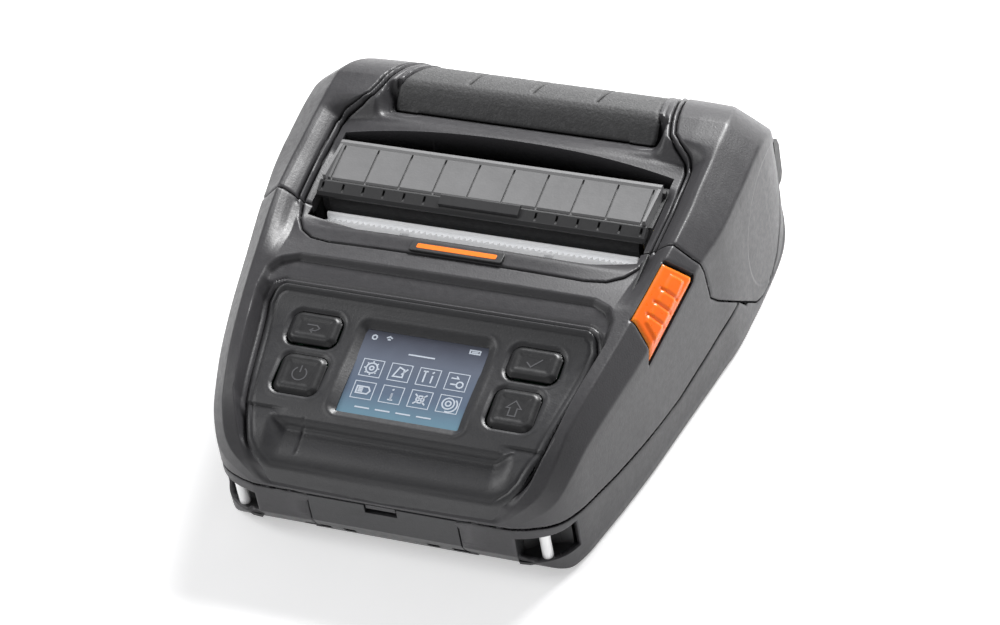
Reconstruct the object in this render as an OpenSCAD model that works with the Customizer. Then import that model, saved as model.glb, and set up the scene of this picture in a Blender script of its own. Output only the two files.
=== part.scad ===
// Portable label and receipt printer: clamshell body, roll compartment under a rear cover,
// sloped control panel in front. X is right, Y is back, Z is up.
// The origin is the middle of the footprint.

/* [Body] */
// Width of the body at its widest
body_w = 161; // [158:0.5:164]
// Thickness of the case walls
wall = 2.4; // [2.2:0.1:2.6]
// Radius of the drum that the rear of the body follows
drum_r = 39.2; // [39:0.1:39.4]
// Gap between the cover and the case
cover_gap = 0.5; // [0.45:0.05:0.6]

/* [Control panel] */
// Slope of the control panel in degrees
panel_tilt = 13.2; // [13:0.1:13.4]
// Width of the visible display
lcd_w = 41.3; // [39:0.1:42]
// Height of the visible display along the slope
lcd_h = 31.2; // [29:0.1:32]
// How far the keys stand above the panel
key_proud = 1.5; // [1.2:0.1:1.8]
// Gap round each key
key_gap = 0.35; // [0.3:0.05:0.5]

/* [Paper path] */
// Widest paper
media_w = 112; // [110:0.5:112]
// Inner radius of the roll trough
trough_r = 30; // [29.5:0.1:30]
// Radius of the platen's rubber
platen_r = 6.5; // [6.3:0.1:6.5]
// Radius of the platen's shaft
shaft_r = 2.5; // [2.3:0.1:2.5]
// Pitch of the ribs on the rib plate
rib_pitch = 12; // [11.8:0.05:12]
// Pitch of the teeth on the tear bar
tear_pitch = 2; // [1.6:0.1:2.4]

/* [Drive] */
// Module of the feed gears
gear_m = 0.8; // [0.8:0.01:0.81]
// Thickness of the feed gears
gear_t = 4; // [3:0.5:4]
// Module of the guide rack and pinion
rack_m = 1; // [1:0.01:1.01]

/* [Power] */
// Width of the battery pack
pack_w = 50.6; // [48:0.2:50.8]
// Thickness of the battery pack
pack_h = 18.6; // [17:0.2:18.6]

/* [Hidden] */
$fn = 48;
// The pieces are drawn from a line under the display; this moves them to the middle of the footprint
mid_y = 55.5;
eps = 0.01;
k = body_w / 161;
dy = 105; dz = 26;            // drum axis
hy = 134.6; hz = 47.1;        // hinge axis
py = 69; pz = 49.5;           // platen axis
ty = 103; tz = 34.2;          // roll axis
charcoal = [0.22, 0.22, 0.225];
dark = [0.10, 0.10, 0.105];
steel = [0.75, 0.76, 0.78];
orange = [1.0, 0.36, 0.02];

module place() { translate([0, -mid_y, 0]) children(); }
// a side view outline (y, z) run across the body from x0 to x1
module across(pts, x0, x1) { translate([x0, 0, 0]) rotate([90, 0, 90]) linear_extrude(x1 - x0) polygon(pts); }
// a plan outline (x, y) run up from z0 to z1
module upright(pts, z0, z1) { translate([0, 0, z0]) linear_extrude(z1 - z0) polygon(pts); }
module box(a, b) { translate(a) cube(b - a); }
module both() { children(); mirror([1, 0, 0]) children(); }
module rod(y, z, r, x0, x1) { translate([x0, y, z]) rotate([0, 90, 0]) cylinder(r = r, h = x1 - x0); }
module on_panel() { translate([0, -1.9, 44.4]) rotate([panel_tilt, 0, 0]) children(); }
function mx(p) = [for (q = p) [-q[0], q[1]]];
function sym(p) = concat(p, [for (i = [len(p) - 1:-1:0]) [-p[i][0], p[i][1]]]);
function arc(cy, cz, r, a0, a1, n) = [for (i = [0:n]) let (a = a0 + (a1 - a0) * i / n) [cy + r * cos(a), cz + r * sin(a)]];

// ---- body envelope: sections across the body, one for each station along it ----
plan = [[-38, 44], [-37, 47.5], [-35.5, 51.5], [-33.3, 55], [-30.5, 57.6], [-26.5, 59.6], [-22, 61.2], [-15.5, 62.6],
  [-4, 65], [15, 68.6], [35, 71.8], [49, 74], [63, 76.3], [72, 78], [85, 79.6], [98, 80.4], [104, 80.5], [112, 80.2],
  [120, 79.2], [127, 77.4], [133, 74.4], [138, 70], [141.5, 64.5], [143.6, 58], [144.2, 55]];
crest = [[-38, 25.5], [-37, 29], [-35.5, 31.5], [-33.3, 34], [-30.5, 37], [-26.5, 41], [-22, 44.5], [-15.5, 48],
  [-4, 51.7], [15, 55], [35, 58], [56, 60.8], [64, 61.3], [74, 61.9], [84, 62.9], [95, 63.7], [105, 64.5], [112, 64.5]];
belly = [[-38, 10.5], [-35.5, 5.5], [-33, 2.4], [-30, 0.3], [-28, 0], [130, 0]];
round_w = [[-38, 4], [11, 5], [56, 6.6], [73, 9], [84, 10.5], [100, 11.3], [144, 11.3]];
stations = [-38, -37, -35.5, -33.3, -30.5, -26.5, -22, -15.5, -4, 15, 35, 56, 74, 95, 112, 120, 127, 133, 138, 141.5, 143.6];
function drum_h(y) = sqrt(max(0.01, drum_r * drum_r - (y - dy) * (y - dy)));
function w_at(y) = lookup(y, plan) * k;
function top_at(y) = y > 112 ? dz + drum_h(y) : lookup(y, crest);
function low_at(y) = y > 126 ? max(0, dz - drum_h(y)) : lookup(y, belly);
// half section of the body at y, drawn in by t
function half(y, t) = let (w = w_at(y) - t, a = low_at(y) + t, b = top_at(y) - t, h = min(1, (b - a) / 58),
    e = lookup(y, round_w) * min(1, 1.25 * h))
  [[0, a], [w - 7 * h, a], [w - 2.4 * h, a + 1.3 * h], [w - 0.8 * h, a + 5 * h], [w, a + 0.36 * (b - a)],
   [w - 0.08 * e, b - 27 * h], [w - 0.25 * e, b - 11 * h], [w - 0.4 * e, b - 7 * h], [w - 0.66 * e, b - 3 * h],
   [w - e, b - 0.5 * h], [w - e - 9 * h, b], [0, b + 0.6 * h]];
function section(y, t) = let (q = half(y, t), n = len(q))
  concat(q, [for (i = [n - 2:-1:1]) [-q[i][0], q[i][1]]]);
module envelope(t = 0) {
  m = 52.8; s = 1 - 2 * t / 181.6; n = len(section(0, 0)); c = len(stations);
  ring = [for (y = stations) for (p = section(y, t)) [p[0], m + (y - m) * s, p[1]]];
  ends = [for (j = [0, c - 1]) let (q = section(stations[j], t)) [0, m + (stations[j] - m) * s, (q[0][1] + q[len(half(0, 0)) - 1][1]) / 2]];
  sides = [for (j = [0:c - 2]) for (i = [0:n - 1]) let (a = j * n + i, b = j * n + (i + 1) % n, d = a + n, f = b + n)
    each [[a, b, d], [b, f, d]]];
  caps = [for (i = [0:n - 1]) let (q = (i + 1) % n, z = (c - 1) * n) each [[c * n, q, i], [c * n + 1, z + i, z + q]]];
  polyhedron(points = concat(ring, ends), faces = concat(sides, caps), convexity = 8);
}
module skin() { difference() { envelope(0); envelope(wall); } }

// ---- parting lines ----
// side view of the cover, grown by g: y, z and the way each corner moves
cover_line = [[57, 80, -1, 0], [57.4, 61, -1, 0], [58.3, 54.5, -1, 0], [60, 48, -1, 0], [60.6, 42, -1, 0], [61.2, 35.5, -1, -0.4],
  [65, 30.8, -0.7, -0.7], [91.5, 6, -0.7, -0.7], [97, 3.6, -0.3, -1], [103, 3, 0, -1], [108.5, 3.6, 0.3, -1], [114.5, 6.6, 0.6, -0.8],
  [121.5, 13.5, 0.8, -0.6], [127, 24, 1, -0.3], [132, 40, 1, -0.3], [135.5, 47.2, 1, -0.3], [152, 59, 0.5, -1], [152, 80, 1, 0]];
module cover_zone(g = 0) { across([for (p = cover_line) [p[0] + g * p[2], p[1] + g * p[3]]], -90, 90); }
// line between the lower case and the front case
split = [[-50, 22.5], [-36, 22.5], [-33, 21], [-28, 19.2], [-18, 17.4], [0, 14.6], [20, 12.4], [38, 11.6], [52, 12], [65, 13.4], [76, 14.6], [81, 13]];
module upper_zone(g = 0) { across(concat([for (p = split) [p[0], p[1] + g]], [[110, 8], [110, 90], [-50, 90]]), -90, 90); }

// ---- bowl round the control panel, and the slot's lip ----
// the surface of the control panel in side view, from its upper edge forward and down
flat_top = [[21.5, 53.4], [19.5, 51.6], [16.5, 49.6], [12, 47.66], [-22.5, 39.57]];
chin = [[-24, 36.2], [-27, 35.4], [-31, 34.2], [-34, 32.4], [-36, 29.8], [-36.7, 27]];
insert_plan = [[0, 22], [52, 22], [55, 20], [56.2, 16], [50.5, -20], [46.5, -31], [43.5, -34.5], [38, -37.5], [0, -38.5]];
function grow(p, d) = [for (q = p) [q[0] + (q[0] > 1 ? d : 0), q[1] + (q[1] > 21 ? d : q[1] < -34 ? -d : 0)]];
module insert_column(d) { upright(sym([for (q = grow(insert_plan, d)) if (q[0] >= 0) q]), 10, 75); }
module bowl(g = 0) {
  intersection() {
    across(concat([[36, 80], [31.5 + g, 58 + g], [30.5 + g, 57 - g], [27 + g, 55.6 - g]], [for (p = flat_top) [p[0], p[1] - g]],
      [for (p = chin) [p[0], p[1] - g]], [[-37 + g, 26.4 - g], [-60, 26.4 - g], [-60, 80]]), -90, 90);
    upright(sym([[0, 33 + g], [51, 33 + g], [57 + g, 30], [60 + g, 25], [60 + g, 16], [54 + g, -20], [49.5 + g, -31], [46 + g, -35.5], [40, -60], [0, -60]]), 0, 90);
  }
}
module valley(g = 0) {
  intersection() {
    across([[33 - g, 80], [33.4 - g, 57.8], [34.4, 56.6 - g], [46.2, 57.2 - g], [47.6, 56.4 - g], [52.5, 48.1 - g], [52.6, 46.6 - g], [66, 46.4 - g], [66, 80]], -90, 90);
    upright(sym([[0, 28], [46, 28], [50 + g, 34], [53 + g, 44], [57.6 + g, 52], [57.6 + g, 70], [0, 70]]), 0, 90);
  }
}
button_side = [[24.5, 36], [26.5, 35], [53, 42], [55, 44], [51.5, 58], [50.5, 70], [19, 70], [21, 52]];
module button_zone(g = 0) { across([for (p = button_side) [p[0] + g * (p[0] > 40 ? 1 : -1), p[1] + g * (p[1] < 50 ? (g < 0 ? -1.7 : -1) : 0)]], 60.5 - g, 90); }

module lower_case() color(charcoal) place() {
  difference() {
    union() {
      difference() { skin(); cover_zone(cover_gap); upper_zone(-0.15); }
      // battery bay walls and roof
      difference() { box([-28, -33, 2], [28, 49, 22.2]); box([-26, -40, 2.4], [26, 47, 22.3]); }
      // posts for the frame and the case screws
      for (x = [-50, 50], y = [-22, 40]) translate([x, y, 1.5]) cylinder(r = 4, h = 12);
      for (x = [-67.4, 67.4], y = [60, 118]) translate([x, y, 1.5]) cylinder(r = 3.6, h = y == 60 ? 9 : 14);
      // rims of the strap notches
      both() difference() { intersection() { envelope(0); box([41.6, -40, 2], [66, -23.4, 21.9]); } upper_zone(-0.15); }
    }
    // battery mouth, right through the front
    box([-25.9, -60, 2.6], [25.9, -20, 22.4]);
    // strap notches
    both() upright([[44, -60], [44, -32], [48, -28.6], [54, -26.6], [58, -25.8], [90, -25.8], [90, -60]], 7, 18.6);
    both() translate([51.9, -32.5, 4.4]) cylinder(r = 1.8, h = 15.6);
    // finger slots in the front bevel
    both() box([27.4, -40, 4.4], [30, -34, 7]);
    // screw holes from below
    for (x = [-50, 50], y = [-22, 40]) translate([x, y, -1]) { cylinder(r = 1.6, h = 20); cylinder(r = 3.1, h = 3); }
    for (x = [-67.4, 67.4], y = [60, 118]) translate([x, y, -1]) { cylinder(r = 1.6, h = 9); cylinder(r = 3.1, h = 3); }
    // room for the hinge barrel and for the cover's edge as it swings over
    rod(hy, hz, 4.2, -90, 90);
    // port bay at the rear
    box([48, 134, 10.5], [69, 160, 26.5]);
  }
}

module front_case() color(charcoal) place() {
  difference() {
    intersection() {
      union() {
        skin();
        intersection() { envelope(0); union() { bowl(wall); valley(wall); button_zone(2); } }
      }
      difference() { upper_zone(0.15); cover_zone(cover_gap); }
    }
    bowl(0);
    valley(0);
    // seat and window under the control panel
    insert_column(0.35);
    // recess of the release button, and its guide hole
    button_zone(0);
    rod(39, 46, 3.4, 50, 62);
    // slot for the lip's edge above the frame
    box([-56.6, 57.2, 30], [56.6, 70, 60]);
    // inside kept clear behind the lip, for the feed drive and the frame
    box([-68.6, 40, 10], [-60.4, 70, 45.4]);
    box([60.4, 47, 10], [63, 70, 45]);
    box([-26.3, -40, 10], [26.3, -20, 22.5]);
  }
}

module key_shape(s, d) {
  // feed and check keys are wide, power and home keys are square, all with cut corners
  w = s == 0 ? 17 : 15.4; h = s == 0 ? 11.6 : 14.6; c = s == 0 ? 3.4 : 3;
  polygon([[-w / 2 - d, -h / 2 + c], [-w / 2 + c, -h / 2 - d], [w / 2 - c, -h / 2 - d], [w / 2 + d, -h / 2 + c],
    [w / 2 + d, h / 2 - c], [w / 2 - c, h / 2 + d], [-w / 2 + c, h / 2 + d], [-w / 2 - d, h / 2 - c]]);
}
key_x = [37.6, 36.4]; key_t = [11.4, -5.8];
module key(s, side) {
  place() on_panel() translate([side * key_x[s], key_t[s], 0]) {
    translate([0, 0, -2.6]) linear_extrude(key_proud + 2.6) key_shape(s, 0);
    translate([0, 0, -3.6]) linear_extrude(1.2) key_shape(s, 1.2);
    translate([0, 0, -4.5]) cylinder(r = 2, h = 1.5);
  }
}
module key_feed() color(dark) key(0, -1);
module key_check() color(dark) key(0, 1);
module key_power() color(dark) key(1, -1);
module key_home() color(dark) key(1, 1);

module control_panel() color([0.19, 0.19, 0.195]) place() {
  difference() {
    intersection() {
      across(concat(flat_top, chin, [[-34.9, 27.2], [-34.2, 29.2], [-32.6, 31], [-30, 32.2], [-26, 33.4], [-22, 34.4], [-20.6, 37.8], [12.4, 45.6], [17, 47.6],
        [21.5, 50.6]]), -60, 60);
      insert_column(0);
    }
    for (s = [0, 1], side = [-1, 1]) on_panel() translate([side * key_x[s], key_t[s], -6]) linear_extrude(12) key_shape(s, key_gap);
    on_panel() translate([-lcd_w / 2 - 2, -lcd_h / 2 - 2, -6]) cube([lcd_w + 4, lcd_h + 4, 12]);
  }
}
module display_lens() color([0.3, 0.35, 0.42, 0.9]) place() on_panel()
  translate([-lcd_w / 2 - 1.9, -lcd_h / 2 - 1.9, -1.7]) cube([lcd_w + 3.8, lcd_h + 3.8, 1.2]);
module display_module() color(dark) place() on_panel() {
  translate([-lcd_w / 2 - 3, -lcd_h / 2 - 3, -6.2]) cube([lcd_w + 6, lcd_h + 6, 3.4]);
  translate([-lcd_w / 2 - 1.4, -lcd_h / 2 - 1.4, -3]) cube([lcd_w + 2.8, lcd_h + 2.8, 1.3]);
}
module key_board() color([0.05, 0.25, 0.12]) place() on_panel() both() translate([26, -14.5, -7.2]) cube([21.5, 32.5, 1.2]);
module badge_plate() color(dark) place() translate([0, 42.7, 57.02]) rotate([2.9, 0, 0]) translate([-16, -2.1, 0.15]) cube([32, 4.2, 0.8]);

module tear_bar() color(steel) place() difference() {
  union() {
    across([[53, 46.8], [57.4, 46.8], [57.4, 40], [58.2, 40], [58.2, 47.6], [57.6, 47.9], [53, 48.2]], -54.4, 54.4);
    for (i = [0:54]) translate([-54 + i * tear_pitch, 0, 0]) if (-54 + i * tear_pitch < 53) upright([[0, 58], [tear_pitch / 2, 59.4], [tear_pitch - 0.1, 58]], 46.9, 47.6);
  }
  for (x = [-25.1, 25.1]) box([x - 1.6, 52, 46], [x + 1.6, 56.8, 49]);
}
module guide_bar() color(steel) place() {
  across([[59.9, 40], [61.5, 40], [61.5, 48], [61.2, 48.7], [60.7, 48.9], [60.2, 48.7], [59.9, 48]], -54.2, 54.2);
  both() box([54.1, 59.9, 40], [57.5, 61.5, 42]);
}

// ---- head, frame and drive ----
module at_nip() { translate([0, py, pz]) rotate([-5, 0, 0]) children(); }
module print_head() color([0.85, 0.84, 0.8]) place() at_nip() box([-54, -5, -platen_r - 1.6], [54, 5.5, -platen_r - 0.4]);
module head_heatsink() color([0.7, 0.71, 0.72]) place() at_nip() difference() {
  box([-55, -5, -platen_r - 5.2], [55, 5.5, -platen_r - 1.6]);
  for (x = [-48:8:48]) box([x, -7, -platen_r - 6], [x + 3.4, 2, -platen_r - 3.4]);
}
module coil(r, d, h, turns) { linear_extrude(height = h, twist = -360 * turns, slices = turns * 12, $fn = 6) translate([r, 0]) circle(d = d, $fn = 6); }
module head_springs() color(steel) place() at_nip() for (x = [-32, 32]) translate([x, 4.5, -platen_r - 10.8]) coil(2, 0.7, 5.4, 4);
module media_frame() color([0.16, 0.16, 0.165]) place() {
  difference() {
    union() {
      // side plates
      for (x = [-62.8, 60.8]) across(concat([[43, 24], [48, 18], [60, 4.8], [68, 3], [130, 3], [134, 14], [134.6, 30], [131, 40], [128, 44], [84, 44], [77, 43]], x < 0 ? [[52, 43], [43, 38]] : [[59, 43], [58.4, 36.4], [43, 33]]), x, x + 2);
      // trough for the roll
      across(concat(arc(ty, tz, trough_r + 1.8, 186, 350, 18), arc(ty, tz, trough_r, 350, 186, 18)), -61, 61);
      // tray under the guide racks
      box([-61, 58.6, 3], [61, 83, 4.4]);
      // bar behind the head, sloped with it
      at_nip() box([-61, 3, -platen_r - 12.6], [61, 8, -platen_r - 11]);
      // bearing posts
      rod(60.55, 34.85, 1.5, -68, -62.7);
      translate([0, 70, 4]) cylinder(r = 1.6, h = 6.4);
    }
    // slot that the guides' feet pass through
    box([-60.2, 75.6, 4.5], [60.2, 81.4, 30]);
    // holes for the motor's shaft and the latch shaft
    rod(45.4, 32.6, 2.6, -70, -50);
    rod(66, 24, 2.06, -70, 70);
    // the sensor's window
    box([-6, 66, 26], [6, 76, 33.6]);
  }
}
module feed_motor() color([0.6, 0.6, 0.62]) place() {
  rod(45.4, 32.6, 12, -60.6, -42);
  rod(45.4, 32.6, 2.4, -61.5, -60);
  box([-60.6, 36, 18.6], [-59.4, 40, 22.6]);
}
module main_board() color([0.03, 0.28, 0.14]) place() {
  box([-52, -26, 24], [52, 29, 25.6]);
  box([-30, -10, 25.5], [-14, 6, 27.2]);
  box([4, 8, 25.5], [20, 24, 27.4]);
  box([30, -20, 25.5], [44, -8, 28.6]);
  for (x = [-44, -38, 26]) translate([x, 14, 25.5]) cylinder(r = 2.5, h = 4);
}
module battery_contacts() color([0.85, 0.65, 0.25]) place() for (x = [-9, -3, 3, 9]) box([x - 1, 46.2, 8], [x + 1, 46.95, 14]);
module media_sensor() color(dark) place() difference() { box([-5.6, 66.4, 26.4], [5.6, 71, 33.2]); box([-3, 69.8, 28], [3, 72, 31]); }
module latch_hooks() color(steel) place() {
  rod(66, 24, 2, -59.6, 66.6);
  for (x = [-59.9, 58]) across([[63.6, 22], [68.4, 22], [68.2, 26.5], [65.4, 38], [65, 44.6], [66.1, 48.4], [65.9, 52.2], [64.6, 53.6], [62.8, 52], [62.6, 40]], x, x + 1.8);
  box([63.6, 62.6, 24], [66.6, 66, 40]);
}
module release_spring() color(steel) place() translate([56, 39, 46]) rotate([0, 90, 0]) coil(2.6, 0.6, 5.6, 4);

// ---- gears ----
function inv(a) = tan(a) * 180 / PI - a;
function flank(r, rb, n, m) = 90 / n - 6 / (n * m) + inv(20) - inv(acos(min(1, rb / r)));
function gear_pts(n, m) = let (rp = n * m / 2, rb = rp * cos(20), ra = rp + 0.9 * m, rf = rp - 1.25 * m, r0 = max(rb, rf), st = 4)
  [for (i = [0:n - 1]) let (c = 360 * i / n) each concat(
    [let (a = flank(r0, rb, n, m)) [rf * cos(c - a), rf * sin(c - a)]],
    [for (j = [0:st]) let (r = r0 + (ra - r0) * j / st, a = flank(r, rb, n, m)) [r * cos(c - a), r * sin(c - a)]],
    [for (j = [st:-1:0]) let (r = r0 + (ra - r0) * j / st, a = flank(r, rb, n, m)) [r * cos(c + a), r * sin(c + a)]],
    [let (a = flank(r0, rb, n, m)) [rf * cos(c + a), rf * sin(c + a)]])];
n_platen = 18; n_idler = 24; n_motor = 14;
iy = 60.55; iz = 34.85; my = 45.4; mz = 32.6;
a_pi = atan2(iz - pz, iy - py);
a_im = atan2(mz - iz, my - iy);
ph_platen = a_pi;
ph_idler = a_pi + 180 + 180 / n_idler;
ph_motor = a_im + 180 + ((a_im - ph_idler) % (360 / n_idler)) * n_idler / n_motor + 180 / n_motor;
module spur(y, z, n, ph, bore) {
  translate([-68, y, z]) rotate([90, 0, 90]) difference() {
    rotate([0, 0, ph]) linear_extrude(gear_t) polygon(gear_pts(n, gear_m));
    translate([0, 0, -1]) cylinder(r = bore, h = gear_t + 2);
  }
}
module platen_gear() color([0.9, 0.9, 0.86]) place() spur(py, pz, n_platen, ph_platen, shaft_r);
module idler_gear() color([0.9, 0.9, 0.86]) place() spur(iy, iz, n_idler, ph_idler, 1.56);
module motor_pinion() color([0.8, 0.68, 0.35]) place() { spur(my, mz, n_motor, ph_motor, 0.9); rod(my, mz, 1, -69, -62); }

// ---- cover ----
pad_path = concat([[104.6, 58]], [[107, 60.4]], arc(dy, dz, drum_r - 0.2, 82, 45, 8));
module pad_zone(g = 0) {
  // g below 0 sinks the seat under the pad
  intersection() {
    across(concat([[98, 80], [99.5, 63.4], [103.2 - abs(g) * 0, 57.2 + g], [105, 56.4 + g], [107.4, 58.6 + g]], arc(dy, dz, drum_r - 1.9 + g, 82, 41, 9), [[150, 70], [150, 80]]), -90, 90);
    upright(sym([[0, 96], [47.6 - g, 96], [47.6 - g, 106], [42.6 - g, 136], [42.6 - g, 150], [0, 150]]), 0, 90);
  }
}
module media_cover() color(charcoal) place() {
  difference() {
    intersection() {
      union() {
        skin();
        intersection() { envelope(0); union() { pad_zone(-2.2); box([-60.4, 56, 54.6], [60.4, 88.8, 75]); } }
      }
      cover_zone(0);
    }
    pad_zone(0);
    // slot and recess of the rib plate
    across([[50, 30], [86.6, 30], [86.6, 80], [50, 80]], -57.8, 57.8);
    // room over the feed gears, the latch and the hinge barrel
    box([-69, 50, 40], [-57, 80, 58.4]);
    box([57, 50, 40], [61.6, 84, 56]);
    rod(hy, hz, 3.3, -90, 90);
  }
}
module grip_pad() color(dark) place() difference() {
  intersection() {
    across(concat([[104, 58.6], [106.2, 61], [108.5, 62.2]], arc(dy, dz, drum_r - 0.1, 82, 43.5, 8), arc(dy, dz, drum_r - 1.8, 43.5, 82, 8), [[107.4, 59], [105.2, 56.8]]), -60, 60);
    upright(sym([[0, 103], [46.4, 103], [46.4, 106], [41.8, 134], [41.8, 140], [0, 140]]), 0, 90);
  }
  for (x = [-22.6, 0, 22.6]) difference() { box([x - 0.5, 100, 50], [x + 0.5, 140, 70]); rod(dy, dz, drum_r - 0.9, x - 1, x + 1); }
}
module rib_plate() color([0.2, 0.2, 0.205]) place() difference() {
  union() {
    across([[67, 57.4], [67.6, 58], [81.3, 60], [82.2, 60.5], [83.6, 60.3], [83.6, 58.4], [67.6, 56]], -56.2, 56.2);
    both() box([55.2, 66, 56], [56.2, 82, 60.2]);
  }
  for (i = [0:9]) across([[66, 57.2], [67.7, 57.2], [81.2, 59.2], [81.2, 62], [66, 60]], (i - 4.5) * rib_pitch - 0.35, (i - 4.5) * rib_pitch + 0.35);
}
module peel_bar() color(dark) place() difference() {
  union() {
    across([[61.2, 54.8], [60.8, 55.8], [61.4, 57], [65, 58.6], [65.8, 58.4], [65.8, 56.6], [64.8, 55.4]], -56.9, 56.9);
    across([[62, 56], [62, 58.6], [65, 59.8], [65.8, 59.6], [65.8, 56]], -13.8, 13.8);
  }
  for (i = [0:5], s = [-1, 1]) translate([s * (19.4 + i * 7.2), 0, 0]) box([-0.4, 60, 57.2], [0.4, 64.6, 60]);
}
module platen_carrier() color([0.16, 0.16, 0.165]) place() difference() {
  union() {
    box([-57.2, 78, 54.6], [57.2, 86.6, 56]);
    both() across([[66, 43.5], [64.6, 47], [64.6, 52.8], [68, 55.8], [84, 56], [84, 54.4], [76, 51], [74.6, 45], [72, 43.5]], 55, 57.4);
    both() box([48, 82.2, 54.8], [57.2, 83.8, 58]);
  }
  rod(py, pz, 4, -60, 60);
}
module platen_bushes() color([0.8, 0.68, 0.35]) place() both() difference() { rod(py, pz, 4, 54.7, 57.6); rod(py, pz, shaft_r + 0.05, 50, 60); }
module platen_roller() color([0.07, 0.07, 0.075]) place() difference() { rod(py, pz, platen_r, -54, 54); rod(py, pz, shaft_r, -60, 60); }
module platen_shaft() color(steel) place() rod(py, pz, shaft_r, -68.6, 60.2);

// ---- hinge ----
// frame at the hinge axis: first axis along the drum towards the cover, second axis inwards
module at_hinge() { translate([0, hy, hz]) rotate([35.5 + 90, 0, 0]) children(); }
module hinge_bracket() color(dark) place() difference() {
  union() {
    for (x = [-50, -8, 34]) { rod(hy, hz, 2.6, x, x + 16); at_hinge() box([x, -1.6, 1.5], [x + 16, 1.6, 4]); at_hinge() box([x, -7, 3.1], [x + 16, 1.6, 4.5]); }
    at_hinge() box([-50, -9.4, 3.1], [50, -5, 4.5]);
  }
  rod(hy, hz, 1.25, -60, 60);
}
module hinge_leaf() color(dark) place() difference() {
  union() {
    for (x = [-33.6, 8.4]) { rod(hy, hz, 2.6, x, x + 25.2); at_hinge() box([x, -1.6, 1.5], [x + 25.2, 1.6, 4]); at_hinge() box([x, -1.6, 3.1], [x + 25.2, 7, 4.5]); }
    at_hinge() box([-46, 5, 3.1], [46, 9.4, 4.5]);
  }
  rod(hy, hz, 1.31, -60, 60);
}
module hinge_pin() color(steel) place() rod(hy, hz, 1.25, -50.4, 50.4);

// ---- fittings ----
module strap_pins() color(steel) place() for (x = [-51.9, 51.9]) translate([x, -32.5, 4.4]) cylinder(r = 1.8, h = 15.6);
module screw(x, y, h) { translate([x, y, 0.6]) { cylinder(r = 2.8, h = 1.3); cylinder(r = 1.55, h = h); } }
module case_screws() color([0.3, 0.3, 0.31]) place() { for (x = [-50, 50], y = [-22, 40]) screw(x, y, 11); for (x = [-67.4, 67.4], y = [60, 118]) screw(x, y, 6.5); }
module port_block() color([0.5, 0.5, 0.52]) place() difference() { box([49, 135, 11.5], [67, 139, 25.5]); box([51, 137.4, 14], [59, 141, 18]); translate([63.4, 136.6, 18]) rotate([-90, 0, 0]) cylinder(r = 2.6, h = 5); }
module port_cover() color([0.12, 0.12, 0.125]) place() {
  difference() {
    across([[138, 9.4], [144.6, 9], [147.6, 9.6], [149, 12], [149, 24], [147.6, 27.6], [145, 28.6], [138, 28.4]], 46.4, 71);
    rod(dy, dz, drum_r + 0.3, 0, 90);
  }
}
module release_button() color(orange) place() difference() {
  union() {
    intersection() { difference() { envelope(0); envelope(4); } button_zone(-0.5); }
    rod(39, 46, 1.2, 57, 70);
  }
  for (i = [0:2]) translate([0, 33 + i * 5, 0]) across([[0, 41], [2, 41], [5, 56], [3, 56]], 71.5, 90);
}
module battery_pack() color(dark) place() difference() {
  across([[-38, 10.8], [-38, 21.9], [-37, 22.1], [46, 22.1], [46, 22.1 - pack_h - 0.3], [-33.8, 22.1 - pack_h - 0.3], [-35.7, 6]], -pack_w / 2, pack_w / 2);
  both() box([12.2, -40, 4.4], [16.4, -34, 7]);
  both() box([20.7, -40, 4.4], [25.6, -34, 7]);
  box([-6, -40, 18.6], [5, -34.4, 23]);
  for (x = [-9, -3, 3, 9]) box([x - 1.4, 44, 7.6], [x + 1.4, 48, 14.4]);
}
module battery_catch() color(charcoal) place() box([-5.5, -37.6, 20.3], [4.5, -34.6, 21.9]);
rack_p = PI * rack_m; rack_r = 6 * rack_m; gy = 70;
function rack_pts(n, s) = [for (i = [0:n - 1]) let (c = (i + 0.5) * rack_p, a = rack_p / 4 - 0.07, h = rack_m) each
  [[c - a - 1.25 * h * tan(20), s * 1.25 * h], [c - a + 0.9 * h * tan(20), -s * 0.9 * h], [c + a - 0.9 * h * tan(20), -s * 0.9 * h], [c + a + 1.25 * h * tan(20), s * 1.25 * h]]];
module guide_side() {
  // plate beside the roll, and its foot through the slot in the trough
  across([[77, 22], [79.6, 17.2], [90, 11], [106, 10.6], [118, 16], [122, 26], [122, 40], [114, 50], [96, 50], [84, 42], [77, 30]], 57.3, 59.3);
  across([[76.4, 21], [80.6, 21], [80.6, 10.4], [76.4, 10.4]], 55.3, 59.3);
}
module guide_right() color([0.25, 0.26, 0.28]) place() {
  guide_side();
  box([55.3, gy + rack_r, 5], [59.3, 80.6, 14]);
  translate([0, gy + rack_r, 5]) linear_extrude(3.6) polygon(concat([[59.3, 1.2]], [[59.3, 4.2]], [[-12, 4.2]], [[-12, 1.2]], [for (p = rack_pts(18, 1)) [p[0] - rack_p * 3, p[1]]]));
}
module guide_left() color([0.25, 0.26, 0.28]) place() {
  mirror([1, 0, 0]) guide_side();
  box([-59.3, gy - rack_r - 3, 10], [-55.3, 80.6, 12.6]);
  box([-59.3, gy - rack_r - 4.2, 5], [-55.3, gy - rack_r - 0.4, 12.6]);
  translate([0, gy - rack_r, 5]) linear_extrude(3.6) polygon(concat([[12, -1.2]], [[12, -4.2]], [[-59.3, -4.2]], [[-59.3, -1.2]], [for (p = rack_pts(18, -1)) [p[0] - rack_p * 15, p[1]]]));
}
module guide_pinion() color([0.9, 0.9, 0.86]) place() translate([0, gy, 5]) difference() {
  rotate([0, 0, 90]) linear_extrude(3.6) polygon(gear_pts(12, rack_m));
  translate([0, 0, -1]) cylinder(r = 1.66, h = 6);
}

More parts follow.
